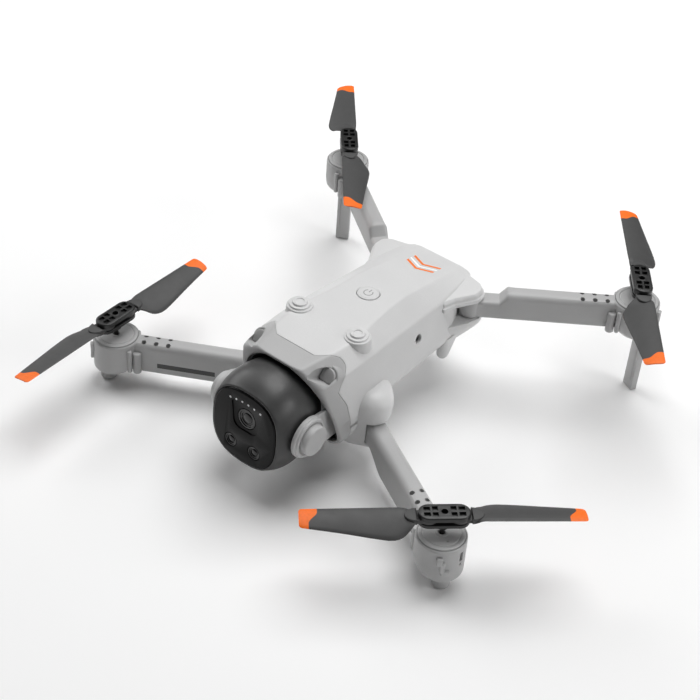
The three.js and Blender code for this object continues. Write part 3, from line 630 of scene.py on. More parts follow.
def nearest_on_seam(x, z):
    """The seam's y at its nearest point to (x, z) in the section."""
    best = None
    for (x0, z0, y0), (x1, z1, y1) in zip(SEAM, SEAM[1:]):
        run = Vector((x1 - x0, z1 - z0))
        t = clamp(Vector((x - x0, z - z0)).dot(run) / run.length_squared)
        distance = (Vector((x0, z0)) + run * t - Vector((x, z))).length
        if best is None or distance < best[0]:
            best = (distance, mix(y0, y1, t))
    return best[1]


def ring_plane(x, z):
    return RING_Y - RING_TILT * (z - RING_Z)


def where(index, rule, start):
    """The y at which column index meets a rule y = rule(x, z)."""
    y = start
    for _ in range(6):
        x, z = half_section(y)[index]
        y = rule(x, z)
    return y


SEAM_Y = [where(i, nearest_on_seam, -66) for i in range(HALF_COUNT)]
FRONT_Y = [where(i, ring_plane, -80) for i in range(HALF_COUNT)]
SECTIONS = {}


def surface(index, y):
    """The point of column index at y, with each section worked out once."""
    key = round(y, 3)
    if key not in SECTIONS:
        SECTIONS[key] = half_section(y)
    x, z = SECTIONS[key][index]
    return Vector((x, y, z))


def shell_rows(first, last, split_z):
    """Rows of the skin between two columns of the +X half, from the tail cap to the seam."""
    steps, round_steps = 62, 5
    start_y = TAIL_Y - TAIL_ROUND

    def shrink(share, y):
        row = []
        for i in range(first, last + 1):
            p = surface(i, start_y)
            row.append(Vector((p.x * share, y, split_z + (p.z - split_z) * share)))
        return row

    rows = [shrink(share, TAIL_Y) for share in (0.02, 0.5, 0.86)]
    for k in range(round_steps):
        angle = pi / 2 * (1 - k / round_steps)
        rows.append(shrink(0.91 + 0.09 * cos(angle), start_y + TAIL_ROUND * sin(angle)))
    for k in range(steps + 1):
        rows.append([surface(i, mix(start_y, SEAM_Y[i] + SEAM_GAP / 2, k / steps))
                     for i in range(first, last + 1)])
    return rows


def full_rows(rows, middle_first):
    """Adds the -X half to rows of the +X half. middle_first says which end is on the middle."""
    made = []
    for row in rows:
        flipped = [Vector((-p.x, p.y, p.z)) for p in row[::-1]]
        made.append(flipped + row[1:] if middle_first else row + flipped[1:])
    return made


def thickened(rows, thickness):
    """A wall that grows inwards from an open sheet of rows."""
    piece = temporary(*grid(rows))
    step = piece.modifiers.new("wall", "SOLIDIFY")
    step.thickness = thickness
    step.offset = -1
    step.use_even_offset = True
    return apply_modifiers(piece)


def closed_tube(half_rows):
    """A skin that runs right round the body and closes on itself from its last row to its first."""
    rows = [row[:-1] for row in full_rows(half_rows, True)]
    return temporary(*grid(rows, closed=True, looped=True))


def arm_sweep(arm, side):
    """Tools for the space an arm's root sweeps between unfolded and folded."""
    hinge = Vector(arm["hinge"])
    low, high = arm["sweep"]
    turn = arm["fold_way"]
    half = ARM_HALF_WIDTH + SWEEP_GAP["bar"]
    reach, steps = 60, 20
    first = radians(arm["direction"])
    last = radians(arm["direction"] + turn * FOLD)

    def out(angle, distance):
        return Vector((cos(angle), sin(angle))) * distance

    start_edge = hinge + out(first - turn * pi / 2, half)
    end_edge = hinge + out(last + turn * pi / 2, half)
    fan = [start_edge, start_edge + out(first, reach)]
    fan += [hinge + out(mix(first, last, k / steps), reach) for k in range(steps + 1)]
    fan += [end_edge + out(last, reach), end_edge]
    wedge = moved(loft([level(fan, z) for z in (low, high)]), to_side(side))
    knuckle = KNUCKLE_RADIUS + SWEEP_GAP["knuckle"]
    return [wedge, rod(knuckle, low, high, side * hinge.x, hinge.y, 48)]


def both_sweeps(arm):
    return [tool for side, _ in SIDES for tool in arm_sweep(arm, side)]


# ---------------------------------------------------------------- shells
def rear_lip():
    """The flat lip over a rear hinge and the wall below it, before the arm's sweep is cut out."""
    wall = [(22, 15, 0), (26.4, 16, 1), (28.3, 22.5, 4), (34.2, 34, 4), (34.2, 40.2, 4.5),
            (30.4, 43.9, 4), (20, 46.6, 0)]
    edge = [(22, 14, 0), (27.2, 15, 1), (29, 22.5, 4), (35, 34, 4), (35, 40.5, 4.5),
            (31, 44.6, 4), (20, 47.4, 0)]
    step = [(22, 15, 0), (26.2, 16.2, 1), (28.1, 22.5, 4), (34, 34, 4), (34, 40.1, 4.5),
            (30.1, 43.7, 4), (20, 46.4, 0)]
    top = [(20, 16, 0), (24.8, 17.2, 1), (27, 23, 4), (33, 33.8, 3.4), (33, 39.8, 3.8),
           (29.4, 43.2, 3.4), (18, 46, 0)]
    levels = [(43.15, wall), (54.4, wall), (54.6, edge), (56.7, edge), (57.1, step), (58.6, step),
              (59.9, top)]
    return bevel(loft([level(filleted(corners, 6), z) for z, corners in levels]), 0.35, 2, 25)


def upper_shell():
    rows = shell_rows(SPLIT_INDEX + 1, HALF_COUNT - 1, SPLIT_Z + SPLIT_GAP / 2)
    shell = thickened(full_rows(rows, False), WALL)
    lip = rear_lip()
    join(shell, lip, mirrored(lip))
    holes = [rod(BUTTON["radius"] + SEAM_GAP, 60, 80, 0, BUTTON["y"], 72)]
    for side, _ in SIDES:
        hole = along_x(rod(SIDE_HOLE["radius"], 20, 40, steps=40), SIDE_HOLE["y"], SIDE_HOLE["z"])
        holes.append(moved(hole, to_side(side)))
    cut(shell, *both_sweeps(REAR), *holes)
    bevel(shell, 0.3, angle=40)
    finish_piece(shell, "upper_shell_moulding", SHELL, "body", ["upper_shell"])


def lower_shell():
    rows = shell_rows(0, SPLIT_INDEX, SPLIT_Z - SPLIT_GAP / 2)
    shell = thickened(full_rows(rows, True), WALL)
    cut(shell, *both_sweeps(FRONT))
    bevel(shell, 0.3, angle=40)
    finish_piece(shell, "lower_shell_moulding", SHELL, "body", ["lower_shell"])


def ring_opening(x, z):
    """The point of the nose opening's edge on the ray from the ring's middle to (x, z)."""
    middle = Vector((0, RING_Z))
    ray = Vector((x, z)) - middle
    far = ray.length
    ray.normalize()
    a, b = OPENING["half_width"], OPENING["half_height"]
    drop = middle.y - OPENING["z"]
    p = (ray.x / a) ** 2 + (ray.y / b) ** 2
    q = 2 * drop * ray.y / b**2
    r = (drop / b) ** 2 - 1
    reach = (-q + sqrt(q * q - 4 * p * r)) / (2 * p)
    reach = min(reach, far - OPENING["rim"])
    if ray.y < 0:
        reach = min(reach, (OPENING["floor"] - middle.y) / ray.y)
    return middle + ray * reach


def bezel_column(i):
    """One column of the bezel: back edge, outer skin, rolled lip, front face and inner tube."""
    back_y = SEAM_Y[i] - SEAM_GAP / 2
    tip = surface(i, FRONT_Y[i])
    edge = ring_opening(tip.x, tip.z)
    inner = Vector((edge.x, ring_plane(edge.x, edge.y), edge.y))
    inward = inner - tip
    width = inward.length
    inward.normalize()
    roll = clamp(width * 0.42, 0.8, 3.4)
    lip = OPENING["lip"]
    column = [surface(i, mix(back_y, FRONT_Y[i] + roll, k / 16)) for k in range(17)]
    forward = (tip - surface(i, FRONT_Y[i] + roll)).normalized()
    for inset, rise in rounding(6):
        column.append(tip + inward * roll * inset - forward * roll * (1 - rise))
    for k in range(1, 4):
        column.append(tip + inward * mix(roll, width - lip, k / 3))
    backward = Vector((0, 1, 0))
    for inset, rise in rounding(4):
        column.append(inner - inward * lip * (1 - rise) + backward * lip * inset)
    for k in range(1, 7):
        column.append(Vector((inner.x, mix(inner.y + lip, back_y, k / 6), inner.z)))
    return column


def sensor_arch(side, near, far, grow=0.0, flare=0.0):
    """An arched bar pointing forwards and up out of the sensor window's plane."""
    rings = []
    for depth, extra in ((near, 0.0), (far, flare)):
        half, drop = SENSOR["half"] + grow + extra, SENSOR["drop"] + grow + extra
        corners = [(-half, 0, 0), (-half, -drop, 0.8), (half, -drop, 0.8), (half, 0, 0)]
        rings.append(level(filleted(corners, 4, False) + arc(half, 0, pi, 24)[1:-1], depth))
    place = shift(side * SENSOR["x"], SENSOR["y"], SENSOR["z"])
    return moved(loft(rings), place @ spin(90 - SENSOR["rise"], "X"))


def sensor_hood(side):
    """The low arched cowl that stands proud round a sensor window."""
    return bevel(sensor_arch(side, -4, 0.9, 1.5, -0.5), 0.5, 3, 40)


def nose_bezel():
    columns = [bezel_column(i) for i in range(HALF_COUNT)]
    bezel = closed_tube([list(row) for row in zip(*columns)])
    join(bezel, *[sensor_hood(side) for side, _ in SIDES])
    cut(bezel, *[sensor_arch(side, 0, 18) for side, _ in SIDES])
    bevel(bezel, 0.25, angle=38)
    finish_piece(bezel, "nose_bezel_moulding", SHADED_BEZEL_GREY, "body", ["nose_bezel"])


def painted_shade_tube():
    """A dark tube of painted shade inside the nose ring, behind the camera, darkening the bezel's own
    inner tube.
    """
    middle = Vector((0, RING_Z))
    walls = {"outer": [], "inner": []}
    for i in range(HALF_COUNT):
        tip = surface(i, FRONT_Y[i])
        edge = ring_opening(tip.x, tip.z)
        start = ring_plane(edge.x, edge.y) + SHADE_TUBE["behind_ring"]
        for wall, points in walls.items():
            p = edge - (edge - middle).normalized() * SHADE_TUBE[wall]
            points.append([Vector((p.x, y, p.y)) for y in (start, SHADE_TUBE["back"])])
    outer, inner = ([list(row) for row in zip(*points)] for points in walls.values())
    finish_piece(closed_tube(outer + inner[::-1]), "painted_shade_tube", NOSE_SHADE_DARK, "body")


def front_shoulder_ring(z, reach, back, front, root_x):
    """A level of the front hinge's shoulder: a curve in from the nose, round the hinge, and a
    longer curve back to the side."""
    hinge_x, hinge_y = FRONT["hinge"]
    start, sweep = radians(-66), radians(96)
    corner = arc(reach, start, sweep, 12, hinge_x, hinge_y)
    first, last = Vector(corner[0]), Vector(corner[-1])
    entry = Vector((sin(start), -cos(start)))
    leaving = Vector((-sin(start + sweep), cos(start + sweep)))
    root = Vector((root_x, hinge_y - front))
    target = Vector((hinge_x - 2, hinge_y + back))
    lead_in = [curve(root, first + entry * front * 0.25, first, k / 10) for k in range(10)]
    lead_out = [curve(last, last + leaving * back * 0.42, target, k / 12) for k in range(1, 13)]
    inside = 20
    return level([(inside, root.y), *lead_in, *corner, *lead_out, (inside, target.y)], z)


def front_housings():
    """The rounded shoulder that carries a front hinge, swept back along the side."""
    reach = Track([11.6, 12.1, 13.4, 16, 22, 28, 32, 36, 38.5, 41, 42.8, 43.8, 44.3],
                  [4.6, 6.4, 7.9, 8.9, 9.3, 9.6, 10.1, 10.5, 10.1, 8.7, 6.6, 4.6, 2.8])
    back = Track([11.6, 14.5, 28, 36, 41, 44.3], [7, 10, 15, 17, 14.5, 10])
    front = Track([11.6, 13, 16, 28, 36, 41, 44.3], [9.5, 10.6, 11.5, 12, 11.5, 9, 5])
    root_x = Track([11.6, 12.5, 14, 18, 28, 34, 40, 44.3], [24, 25.6, 26.9, 27.8, 28.8, 28.2, 26, 23])
    heights = [11.6, 11.75, 12.1, 12.7, 13.4, 14.6, 16, 19, 22, 25, 28, 30, 32, 34, 35.5, 37, 38.2,
               39.4, 40.4, 41.3, 42.1, 42.8, 43.3, 43.8, 44.1, 44.3]
    shoulder = loft([front_shoulder_ring(z, reach(z), back(z), front(z), root_x(z)) for z in heights])
    for (side, name), piece in zip(SIDES, (shoulder, mirrored(shoulder))):
        cut(piece, *arm_sweep(FRONT, side))
        bevel(piece, 0.35, angle=40)
        finish_piece(piece, f"front_shoulder_{name}", SHELL, "body",
                     [f"front_hinge_housing_{name}"])


def hinge_finger():
    """The short rounded finger below a rear hinge, leaning back into the bracket."""
    x, y = FINGER["x"], FINGER["y"]
    return loft([level(arc(half, 0, pi, 10, x, y + 2 * lean) + arc(half, pi, pi, 10, x, y), z)
                 for z, half, lean in FINGER["levels"]])


def rear_brackets():
    """The wedge under a rear arm's knuckle, which grows out of the side, with a finger below it."""
    x, y = REAR["hinge"]
    reach = Track([31, 33, 36, 39, 41, 43.1], [0.5, 1.8, 4.2, 6, 6.8, 6.8])
    inside = 17
    rings = []
    for z in (31, 31.6, 32.4, 33.4, 34.6, 36, 37.4, 38.8, 40, 41.2, 42.2, 43.1):
        r = reach(z)
        front = [(inside, 15.2, 0), (26.4, 15.6, 1), (x + r * 0.75, y - r * 1.25, 2),
                 (x + r, y - r * 0.4, 0)]
        ring = filleted(front, 5, False)[:-1] + arc(r, radians(-22), radians(122), 13, x, y)
        rings.append(level(ring + [(inside, y + 6.4)], z))
    bracket = loft(rings)
    join(bracket, hinge_finger())
    bevel(bracket, 0.4, angle=38)
    for (_, name), piece in zip(SIDES, (bracket, mirrored(bracket))):
        finish_piece(piece, f"rear_corner_{name}", SHELL, "body",
                     [f"rear_hinge_bracket_{name}"])


def turrets():
    """Two round turrets that step down from a small dished top."""
    profile = raised([
        (0, -0.5, 0), (2.0, -0.5, 0.3), (2.4, 0, 0.2), (3.7, 0, 0.4), (3.95, -0.95, 0.25),
        (5.4, -1.05, 0.4), (5.65, -1.9, 0.25), (6.7, -2.1, 0.7), (7.0, -5.6, 2.5), (8.3, -12.5, 0),
        (0, -12.5, 0),
    ], TURRET["top"])
    for side, name in SIDES:
        piece = turned(profile, side * TURRET["x"], TURRET["y"], 72, 4)
        finish_piece(piece, f"turret_{name}", SHELL, "body", [f"sensor_turret_{name}"],
                     sharp=40)


def sensor_windows():
    for side, name in SIDES:
        piece = bevel(sensor_arch(side, SEAM_GAP, 2.3, -0.25), 0.5, 3)
        finish_piece(piece, f"window_{name}", WINDOW, "body", [f"sensor_window_{name}"])


def stroke(points, width):
    """The (left, right) edge points of a line of even width."""
    edges = []
    for i, p in enumerate(points):
        before, after = points[max(i - 1, 0)], points[min(i + 1, len(points) - 1)]
        along = (Vector(after) - Vector(before)).normalized()
        across = Vector((-along.y, along.x)) * width / 2
        edges.append([(p[0] + way * across.x, p[1] + way * across.y) for way in (1, -1)])
    return edges


def power_button():
    """The button's cap, with the usual power symbol: an open ring with an upright bar in its gap."""
    radius, top, y = BUTTON["radius"], BUTTON["top"], BUTTON["y"]
    profile = raised([
        (0, -5.3, 0), (1.8, -5.3, 0), (1.8, -3.9, 0), (7, -3.9, 0), (7, -3.1, 0),
        (radius, -3.1, 0), (radius, 0, 0.5), (5.0, 0, 0.15), (4.9, -0.14, 0.1),
        (4.6, -0.14, 0.1), (4.5, 0, 0.15), (0, 0, 0),
    ], top)
    finish_piece(turned(profile, 0, y, 72), "power_button_cap", SHELL, "power_button",
                 ["power_button"], sharp=40)
    ring = arc(BUTTON["symbol"], radians(130), radians(280), 36, 0, y)
    strips = [stroke(line, BUTTON["stroke"]) for line in (ring, [(0, y + 0.5), (0, y + 3.0)])]
    symbol = ribbons(strips, lambda _: top, 0.05, 0.03)
    finish_piece(symbol, "power_symbol", GREY_INK, "power_button")


def inner_materials():
    """Materials for the CAD pieces that keep their own shape inside the drone."""
    # The nose bulkhead takes the same dark grey as the painted shade in the nose.
    inner = {"circuit_board": BOARD, "battery_pack": BATTERY, "nose_bulkhead": NOSE_SHADE_DARK}
    for _, name in SIDES:
        inner[f"front_hinge_pin_{name}"] = STEEL
        inner[f"rear_hinge_pin_{name}"] = STEEL
    for corner in CORNERS:
        inner[f"motor_{corner}"] = STEEL
    for name, material in inner.items():
        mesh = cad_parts[name].data
        mesh.materials.clear()
        mesh.materials.append(material)


def build_body():
    upper_shell()
    lower_shell()
    nose_bezel()
    painted_shade_tube()
    front_housings()
    rear_brackets()
    turrets()
    sensor_windows()
    power_button()
    inner_materials()


# ---------------------------------------------------------------- camera
CAMERA_PLACE = shift(0, CAMERA["y"], CAMERA["z"]) @ spin(CAMERA_PITCH, "X")


def pod_width(depth):
    """Half the housing's width at a depth behind its pivot, narrower towards both ends."""
    forward = max(0.0, -depth) / CAMERA["face"]
    backward = max(0.0, depth) / CAMERA["back"]
    return CAMERA["half_width"] - 3.25 * forward**2 - 13.75 * backward**3


def pod_squareness(depth):
    """The exponent of the housing's outline, which grows squarer towards the face."""
    return POD_ROUNDNESS + 0.4 * max(0.0, -depth) / CAMERA["face"]


def pod_ring(depth, half_width, half_height, squareness):
    return [(u, depth, v) for u, v in superellipse(half_width, half_height, squareness)]


def camera_pod():
    """The camera's rounded housing, from its back cap to the rim round its face."""
    radius, face, back, rim = (CAMERA[key] for key in ("radius", "face", "back", "rim"))
    square = FACE["squareness"]
    rings = []
    for share in (0.3, 0.75, 0.93):
        height = sqrt(radius**2 - back**2) * share
        rings.append(pod_ring(back + 0.25 * (1 - share), pod_width(back) * share, height,
                              POD_ROUNDNESS))
    depths = [back - 0.4 * k for k in range(1, 6)] + [back - 2.5 - 1.6 * k for k in range(24)]
    for depth in [d for d in depths if d > rim - face]:
        height = sqrt(radius**2 - depth**2)
        rings.append(pod_ring(depth, pod_width(depth), height, pod_squareness(depth)))
    width, height = pod_width(rim - face), sqrt(radius**2 - (face - rim) ** 2)
    for inset, rise in rounding(5):
        rings.append(pod_ring(rim - face - rim * rise, width - rim * inset, height - rim * inset,
                              square))
    for depth in (0.0, FACE["thickness"]):
        rings.append(pod_ring(depth - face, FACE["half_width"] + SEAM_GAP,
                              FACE["half_height"] + SEAM_GAP, square))
    finish_piece(loft(rings), "camera_housing", CHARCOAL, "camera", ["camera_pod"],
                 place=CAMERA_PLACE, sharp=35)


def facing(piece):
    """Turns a shape whose own z points forwards, and own y up, to stand on the camera's face."""
    turn = Matrix(((1, 0, 0, 0), (0, 0, -1, 0), (0, 1, 0, 0), (0, 0, 0, 1)))
    return moved(piece, turn)


def camera_face():
    """The glossy plate, with a shallow tapered recess round the main lens and a hole per lens."""
    outline = superellipse(FACE["half_width"], FACE["half_height"], FACE["squareness"])
    plate = prism(outline, FACE_BACK, FACE_FRONT, FACE["edge"], 5)
    corners = [(-7.2, -2.2, 4.4), (7.2, -2.2, 4.4), (9.6, 13.4, 2.2), (-9.6, 13.4, 2.2)]
    recess = [(u + 1, v + 1) for u, v in filleted(corners, 8)]
    tools = [loft([level(recess, z) for z in (FACE_FRONT - FACE["recess"], FACE_FRONT + 2)])]
    for _, _, x, z, radius, _ in LENSES:
        tools.append(rod(radius + 0.3, FACE_BACK - 1, FACE_FRONT + 2, x, z, 56))
    cut(plate, *tools)
    bevel(plate, 0.2, angle=45)
    finish_piece(facing(plate), "camera_front", FACE_BLACK, "camera", ["camera_face"],
                 place=CAMERA_PLACE)


def camera_lenses():
    """Each lens: a stepped barrel that goes down to a domed glass."""
    for name, cad_node, x, z, radius, stand in LENSES:
        dome = [(radius * 0.52 * (1 - inset), -0.9 + 0.7 * rise, 0) for inset, rise in rounding(8, 0)]
        dome[-1] = (0, *dome[-1][1:])
        barrel = raised([
            (0, -stand, 0), (radius, -stand, 0), (radius, 0, 0.25), (radius * 0.84, 0, 0.15),
            (radius * 0.8, -0.45, 0), (radius * 0.68, -0.5, 0), (radius * 0.64, -0.9, 0), *dome,
        ], FACE_BACK + stand)
        finish_piece(facing(turned(barrel, x, z)), f"{name}_lens_glass", LENS_BLACK, "camera",
                     [cad_node], place=CAMERA_PLACE, sharp=30)


def camera_dots():
    """Small round marks across the top of the face, on a slight arch."""
    dots = []
    for k in range(DOTS["count"]):
        x = DOTS["first"] + DOTS["pitch"] * k
        z = DOTS["z"] - DOTS["sag"] * x**2
        dots.append(rod(DOTS["radius"], FACE_FRONT - 0.1, FACE_FRONT + 0.04, x, z, 20))
    joined = join(*dots)
    finish_piece(facing(joined), "face_dots", WHITE, "camera", place=CAMERA_PLACE)


def yoke_side(side):
    """One arm of the yoke, from the nose to the camera's pivot, and the stepped disc at its end."""
    y, z = CAMERA["y"], CAMERA["z"]
    outline = filleted([(y, z - 12, 1), (YOKE_BACK, z - 12, 0.5), (YOKE_BACK, z - 1, 0.5),
                        (y + 18, z - 1, 3), (y + 15, z + 8.5, 1.5), (y, z + 10, 1)], 4)
    plate = loft([level(outline, w) for w in (0.0, YOKE["arm"])])
    inner = side * YOKE["inner"]
    moved(plate, Matrix(((0, 0, side, inner), (1, 0, 0, 0), (0, 1, 0, 0), (0, 0, 0, 1))))
    profile = raised([
        (0, -YOKE["disc"], 0), (YOKE["disc_radius"], -YOKE["disc"], 0.3),
        (YOKE["disc_radius"], -1.3, 0.5), (10.5, -1.2, 0.2), (10.2, 0, 0.5), (8.9, 0, 0.2),
        (8.7, -0.5, 0.1), (0, -0.5, 0),
    ], YOKE["inner"] + YOKE["disc"])
    disc = along_x(turned(profile, steps=80), y, z)
    return [plate, moved(disc, to_side(side))]


def camera_yoke():
    """The fixed bracket whose arms come out of the nose and carry the camera's pivots."""
    y, z = CAMERA["y"], CAMERA["z"]
    half = YOKE["inner"] + YOKE["arm"]
    back = box(-half, half, YOKE_BACK - 1.6, YOKE_BACK, z - 12, z - 1)
    join(back, *[part for side, _ in SIDES for part in yoke_side(side)])
    bevel(back, 0.2, angle=45)
    finish_piece(back, "yoke_bracket", YOKE_GREY, "body", ["camera_yoke"])
    radius, height = YOKE["cap_radius"], YOKE["cap"]
    profile = raised([(0, -0.4, 0), (radius, -0.4, 0), (radius, height, 0.9), (0, height, 0)],
                     YOKE["inner"] + YOKE["disc"])
    for side, name in SIDES:
        cap = moved(along_x(turned(profile, fillet_steps=4), y, z), to_side(side))
        finish_piece(cap, f"pivot_cap_{name}", YOKE_GREY, "body", [f"yoke_cap_{name}"])


def build_camera():
    camera_yoke()
    camera_pod()
    camera_face()
    camera_lenses()
    camera_dots()


# ---------------------------------------------------------------- arms
def motor_centre(arm, side):
    angle = radians(arm["direction"])
    x, y = arm["hinge"]
    return side * (x + ARM_LENGTH * cos(angle)), y + ARM_LENGTH * sin(angle)


def arm_place(arm, side):
    """From an arm's own frame, hinge at the origin and motor along +X, to the unfolded drone."""
    x, y = arm["hinge"]
    return to_side(side) @ (shift(x, y, 0) @ spin(arm["direction"]))


def round_pod(piece, heading):
    """Turns a shape drawn at the pod's +X side to a heading round the pod."""
    return moved(piece, shift(ARM_LENGTH, 0, 0) @ spin(heading))


def in_arm_frame(arm, offset):
    return Matrix.Rotation(radians(-arm["direction"]), 2) @ Vector(offset)


def bar_ring(x, bottom, top, top_radius=3.8):
    """The arm's section at a distance x from its hinge."""
    half = ARM_HALF_WIDTH
    section = filleted([(-half, bottom, 1.5), (half, bottom, 1.5), (half, top, top_radius),
                        (-half, top, top_radius)], 6)
    return [(x, u, v) for u, v in section]


def front_bar():
    """A front arm, whose underside drops away from the hinge."""
    low, high = FRONT["root"]
    rings = []
    for x in (0, 8, *range(11, 30), 40, 55, 77):
        rings.append(bar_ring(x, mix(low, 10.2, ease((x - 11) / 17)), mix(high, 28.5, ease(x / 30))))
    return loft(rings)


def rear_bar():
    """A rear arm, whose top steps up just outside the body's lip."""
    low, high = REAR["root"]
    rings = []
    for x in (0, 8, 14, 14.6, 14.8, *[15.2 + 0.4 * k for k in range(9)], 19.2, 22.4, 40, 58, 77):
        top = mix(high, 59.5, clamp((x - 14.7) / 4))
        rings.append(bar_ring(x, low, top, mix(2.0, 3.6, ease((x - 14) / 8))))
    return loft(rings)


def pod(arm):
    """The motor pod: a drum whose foot narrows towards the outside."""
    lean = in_arm_frame(arm, arm["pod_shift"])
    low, top = arm["pod_bottom"], arm["cap_top"]
    radius = Track([0, 0.2, 0.7, 1.4, 4, 6.4, 7.4, 8.6],
                   [8.4, 9.1, 9.9, 10.5, 11.55, 12, 12.15, POD_RADIUS])
    follow = Track([0, 1.2, 4.6, 8.6], [1, 0.88, 0.3, 0])
    rings = []
    for rise in (0, 0.12, 0.4, 0.8, 1.2, 1.6, 2.4, 3.2, 4, 4.8, 5.6, 6.4, 6.9, 7.4, 8, 8.6):
        share = follow(rise)
        rings.append(circle(radius(rise), ARM_LENGTH + lean.x * share, lean.y * share, low + rise))
    for drop, r in ((2.2, POD_RADIUS), (1.5, 12.2), (1.1, 12.0), (0.85, 11.65)):
        rings.append(circle(r, ARM_LENGTH, 0, top - drop))
    return loft(rings)


def pod_bosses(arm):
    """Two round steps on each side where the bar meets the pod."""
    low, high = arm["pod_bottom"], arm["cap_top"] - 6
    bosses = []
    for way in (-1, 1):
        bosses.append(rod(2.3, low + 2.6, high, ARM_LENGTH - 12.5, way * 6.1, 28, 0.8))
        bosses.append(rod(1.3, low + 4.2, high + 2.4, ARM_LENGTH - 9.2, way * 8.7, 20, 0.5))
    return bosses


def pod_relief(arm):
    """The small stepped rib on the pod's outer side."""
    middle = arm["pod_bottom"] + 11.5
    ribs = []
    for heading, low, high, width in RELIEF:
        half = width / 2
        rib = box(POD_RADIUS - 1, POD_RADIUS + 1.5, -half, half, middle + low, middle + high)
        ribs.append(round_pod(bevel(rib, 0.45, 3), heading))
    return ribs


def front_foot():
    """The short round foot below a front pod."""
    x, y = motor_centre(FRONT, 1)
    offset = in_arm_frame(FRONT, (FOOT["x"] - x, FOOT["y"] - y))
    return rod(FOOT["radius"], 0, 12, ARM_LENGTH + offset.x, offset.y, 48, 1.0)


def arm_holes(arm):
    """Tools for the motor's well, the cap's seat, the pin, the vents, and the pod's slot and dimple."""
    (low, high), top = arm["root"], arm["cap_top"]
    well, seat = MOTOR_WELL["radius"], MOTOR_WELL["seat_radius"]
    holes = [rod(well, top - MOTOR_WELL["depth"], top + 1, ARM_LENGTH, 0, 64),
             rod(seat, top - MOTOR_WELL["seat_depth"], top + 1, ARM_LENGTH, 0, 64),
             rod(PIN_HOLE_RADIUS, low - 1, high + 1)]
    for along in VENT["places"]:
        for across in (-VENT["across"], VENT["across"]):
            holes.append(rod(VENT["radius"], top - VENT["depth"], top + 1, along, across, 28))
    slot = box(POD_RADIUS - 1.2, POD_RADIUS + 1, -1.1, 1.1, top - 10.2, top - 4.4)
    dimple = along_x(rod(0.8, POD_RADIUS - 0.6, POD_RADIUS + 1, steps=20), 0, top - 12.2)
    return holes + [round_pod(tool, SLOT_HEADING) for tool in (slot, dimple)]


def motor_arm(corner):
    """An arm's moulding: bar, hinge knuckle, motor pod with its details, and a front arm's foot."""
    arm, side, _, _ = CORNERS[corner]
    front = arm is FRONT
    bar = front_bar() if front else rear_bar()
    adds = [rod(KNUCKLE_RADIUS, *arm["root"], 0, 0, 56, 1.0), pod(arm), *pod_bosses(arm),
            *pod_relief(arm)]
    if front:
        adds.append(front_foot())
    join(bar, *adds)
    cut(bar, *arm_holes(arm))
    bevel(bar, 0.3, angle=40)
    finish_piece(bar, f"arm_moulding_{corner}", ARM, f"arm_{corner}", [f"arm_{corner}"],
                 place=arm_place(arm, side))


def motor_cap(corner):
    """The cap over a motor: a grooved rim, a raised ring round the shaft and a small hole."""
    arm, side, _, _ = CORNERS[corner]
    top = arm["cap_top"]
    profile = raised([
        (1.7, -1.6, 0), (11.2, -1.6, 0), (11.2, -0.25, 0.35), (10.5, 0, 0.25), (9.5, 0, 0.25),
        (9.2, -0.45, 0.15), (8.8, -0.45, 0.15), (8.5, -0.1, 0.3), (3.1, -0.1, 0.2),
        (2.9, 0.15, 0.1), (1.7, 0.15, 0.1),
    ], top)
    cap = turned(profile, ARM_LENGTH, 0, 80)
    cut(cap, rod(0.55, top - 0.6, top + 0.5, ARM_LENGTH + 6.2, 0, 20))
    finish_piece(cap, f"motor_cover_{corner}", ARM, f"arm_{corner}", [f"motor_cap_{corner}"],
                 place=arm_place(arm, side), sharp=28)


def rear_leg(side, name):
    """A long flat leg with a fine groove down its front face."""
    u, v, top = LEG["width"] / 2, LEG["depth"] / 2, LEG["top"]
    rings = []
    for z, inset in ((0, 0.3), (0.3, 0), (top / 2, 0), (top, 0)):
        a, b = u - inset, v - inset
        rings.append(level([(-a, -b), (a, -b), (a, b), (-a, b)], z))
    leg = loft(rings)
    cut(leg, box(u - 2.1, u - 1.7, -v - 1, -v + 0.4, 6, top + 1))
    bevel(leg, 0.35, 3, 50)
    place = to_side(side) @ shift(LEG["x"], LEG["y"], 0) @ spin(LEG["turn"])
    finish_piece(leg, f"landing_leg_{name}", ARM, f"arm_rear_{name}", [f"rear_leg_{name}"],
                 place=place)


# ---------------------------------------------------------------- propellers
LEADING = Track([12.8, 14.0, 15.6, 18, 21, 40, 60, 66], [3.6, 4.1, 4.5, 4.8, 5.0, 5.0, 5.0, 5.0])
TRAILING = Track([12.8, 15, 17.5, 20, 22.5, 25, 30, 45, 66],
                 [3.6, 6.2, 8.8, 10.6, 11.5, 11.7, 11.1, 8.4, 5.0])


def propeller_place(corner):
    arm, side, heading, _ = CORNERS[corner]
    x, y = motor_centre(arm, side)
    return shift(x, y, arm["cap_top"] + HUB["above_cap"]) @ spin(heading)


def hub_base(corner, outline):
    """The hub's lower plate with its boss, the shaft below it and a pivot post for each blade."""
    low, plate = -HUB["height"], HUB["plate"]
    base = prism(outline, low, low + plate, 0.3, 2)
    adds = [rod(2.6, low, -2.4, 0, 0, 32), rod(2.8, low - 3.4, low + 0.2, 0, 0, 40, 0.5),
            rod(1.1, -HUB["above_cap"] - 4.8, low, 0, 0, 24)]
    adds += [rod(1.3, low + plate - 0.2, -2.5, way * PIVOT, 0, 24) for way in (-1, 1)]
    join(base, *adds)
    finish_piece(base, f"hub_base_{corner}", HUB_BLACK, f"propeller_{corner}",
                 [f"hub_{corner}"], place=propeller_place(corner))


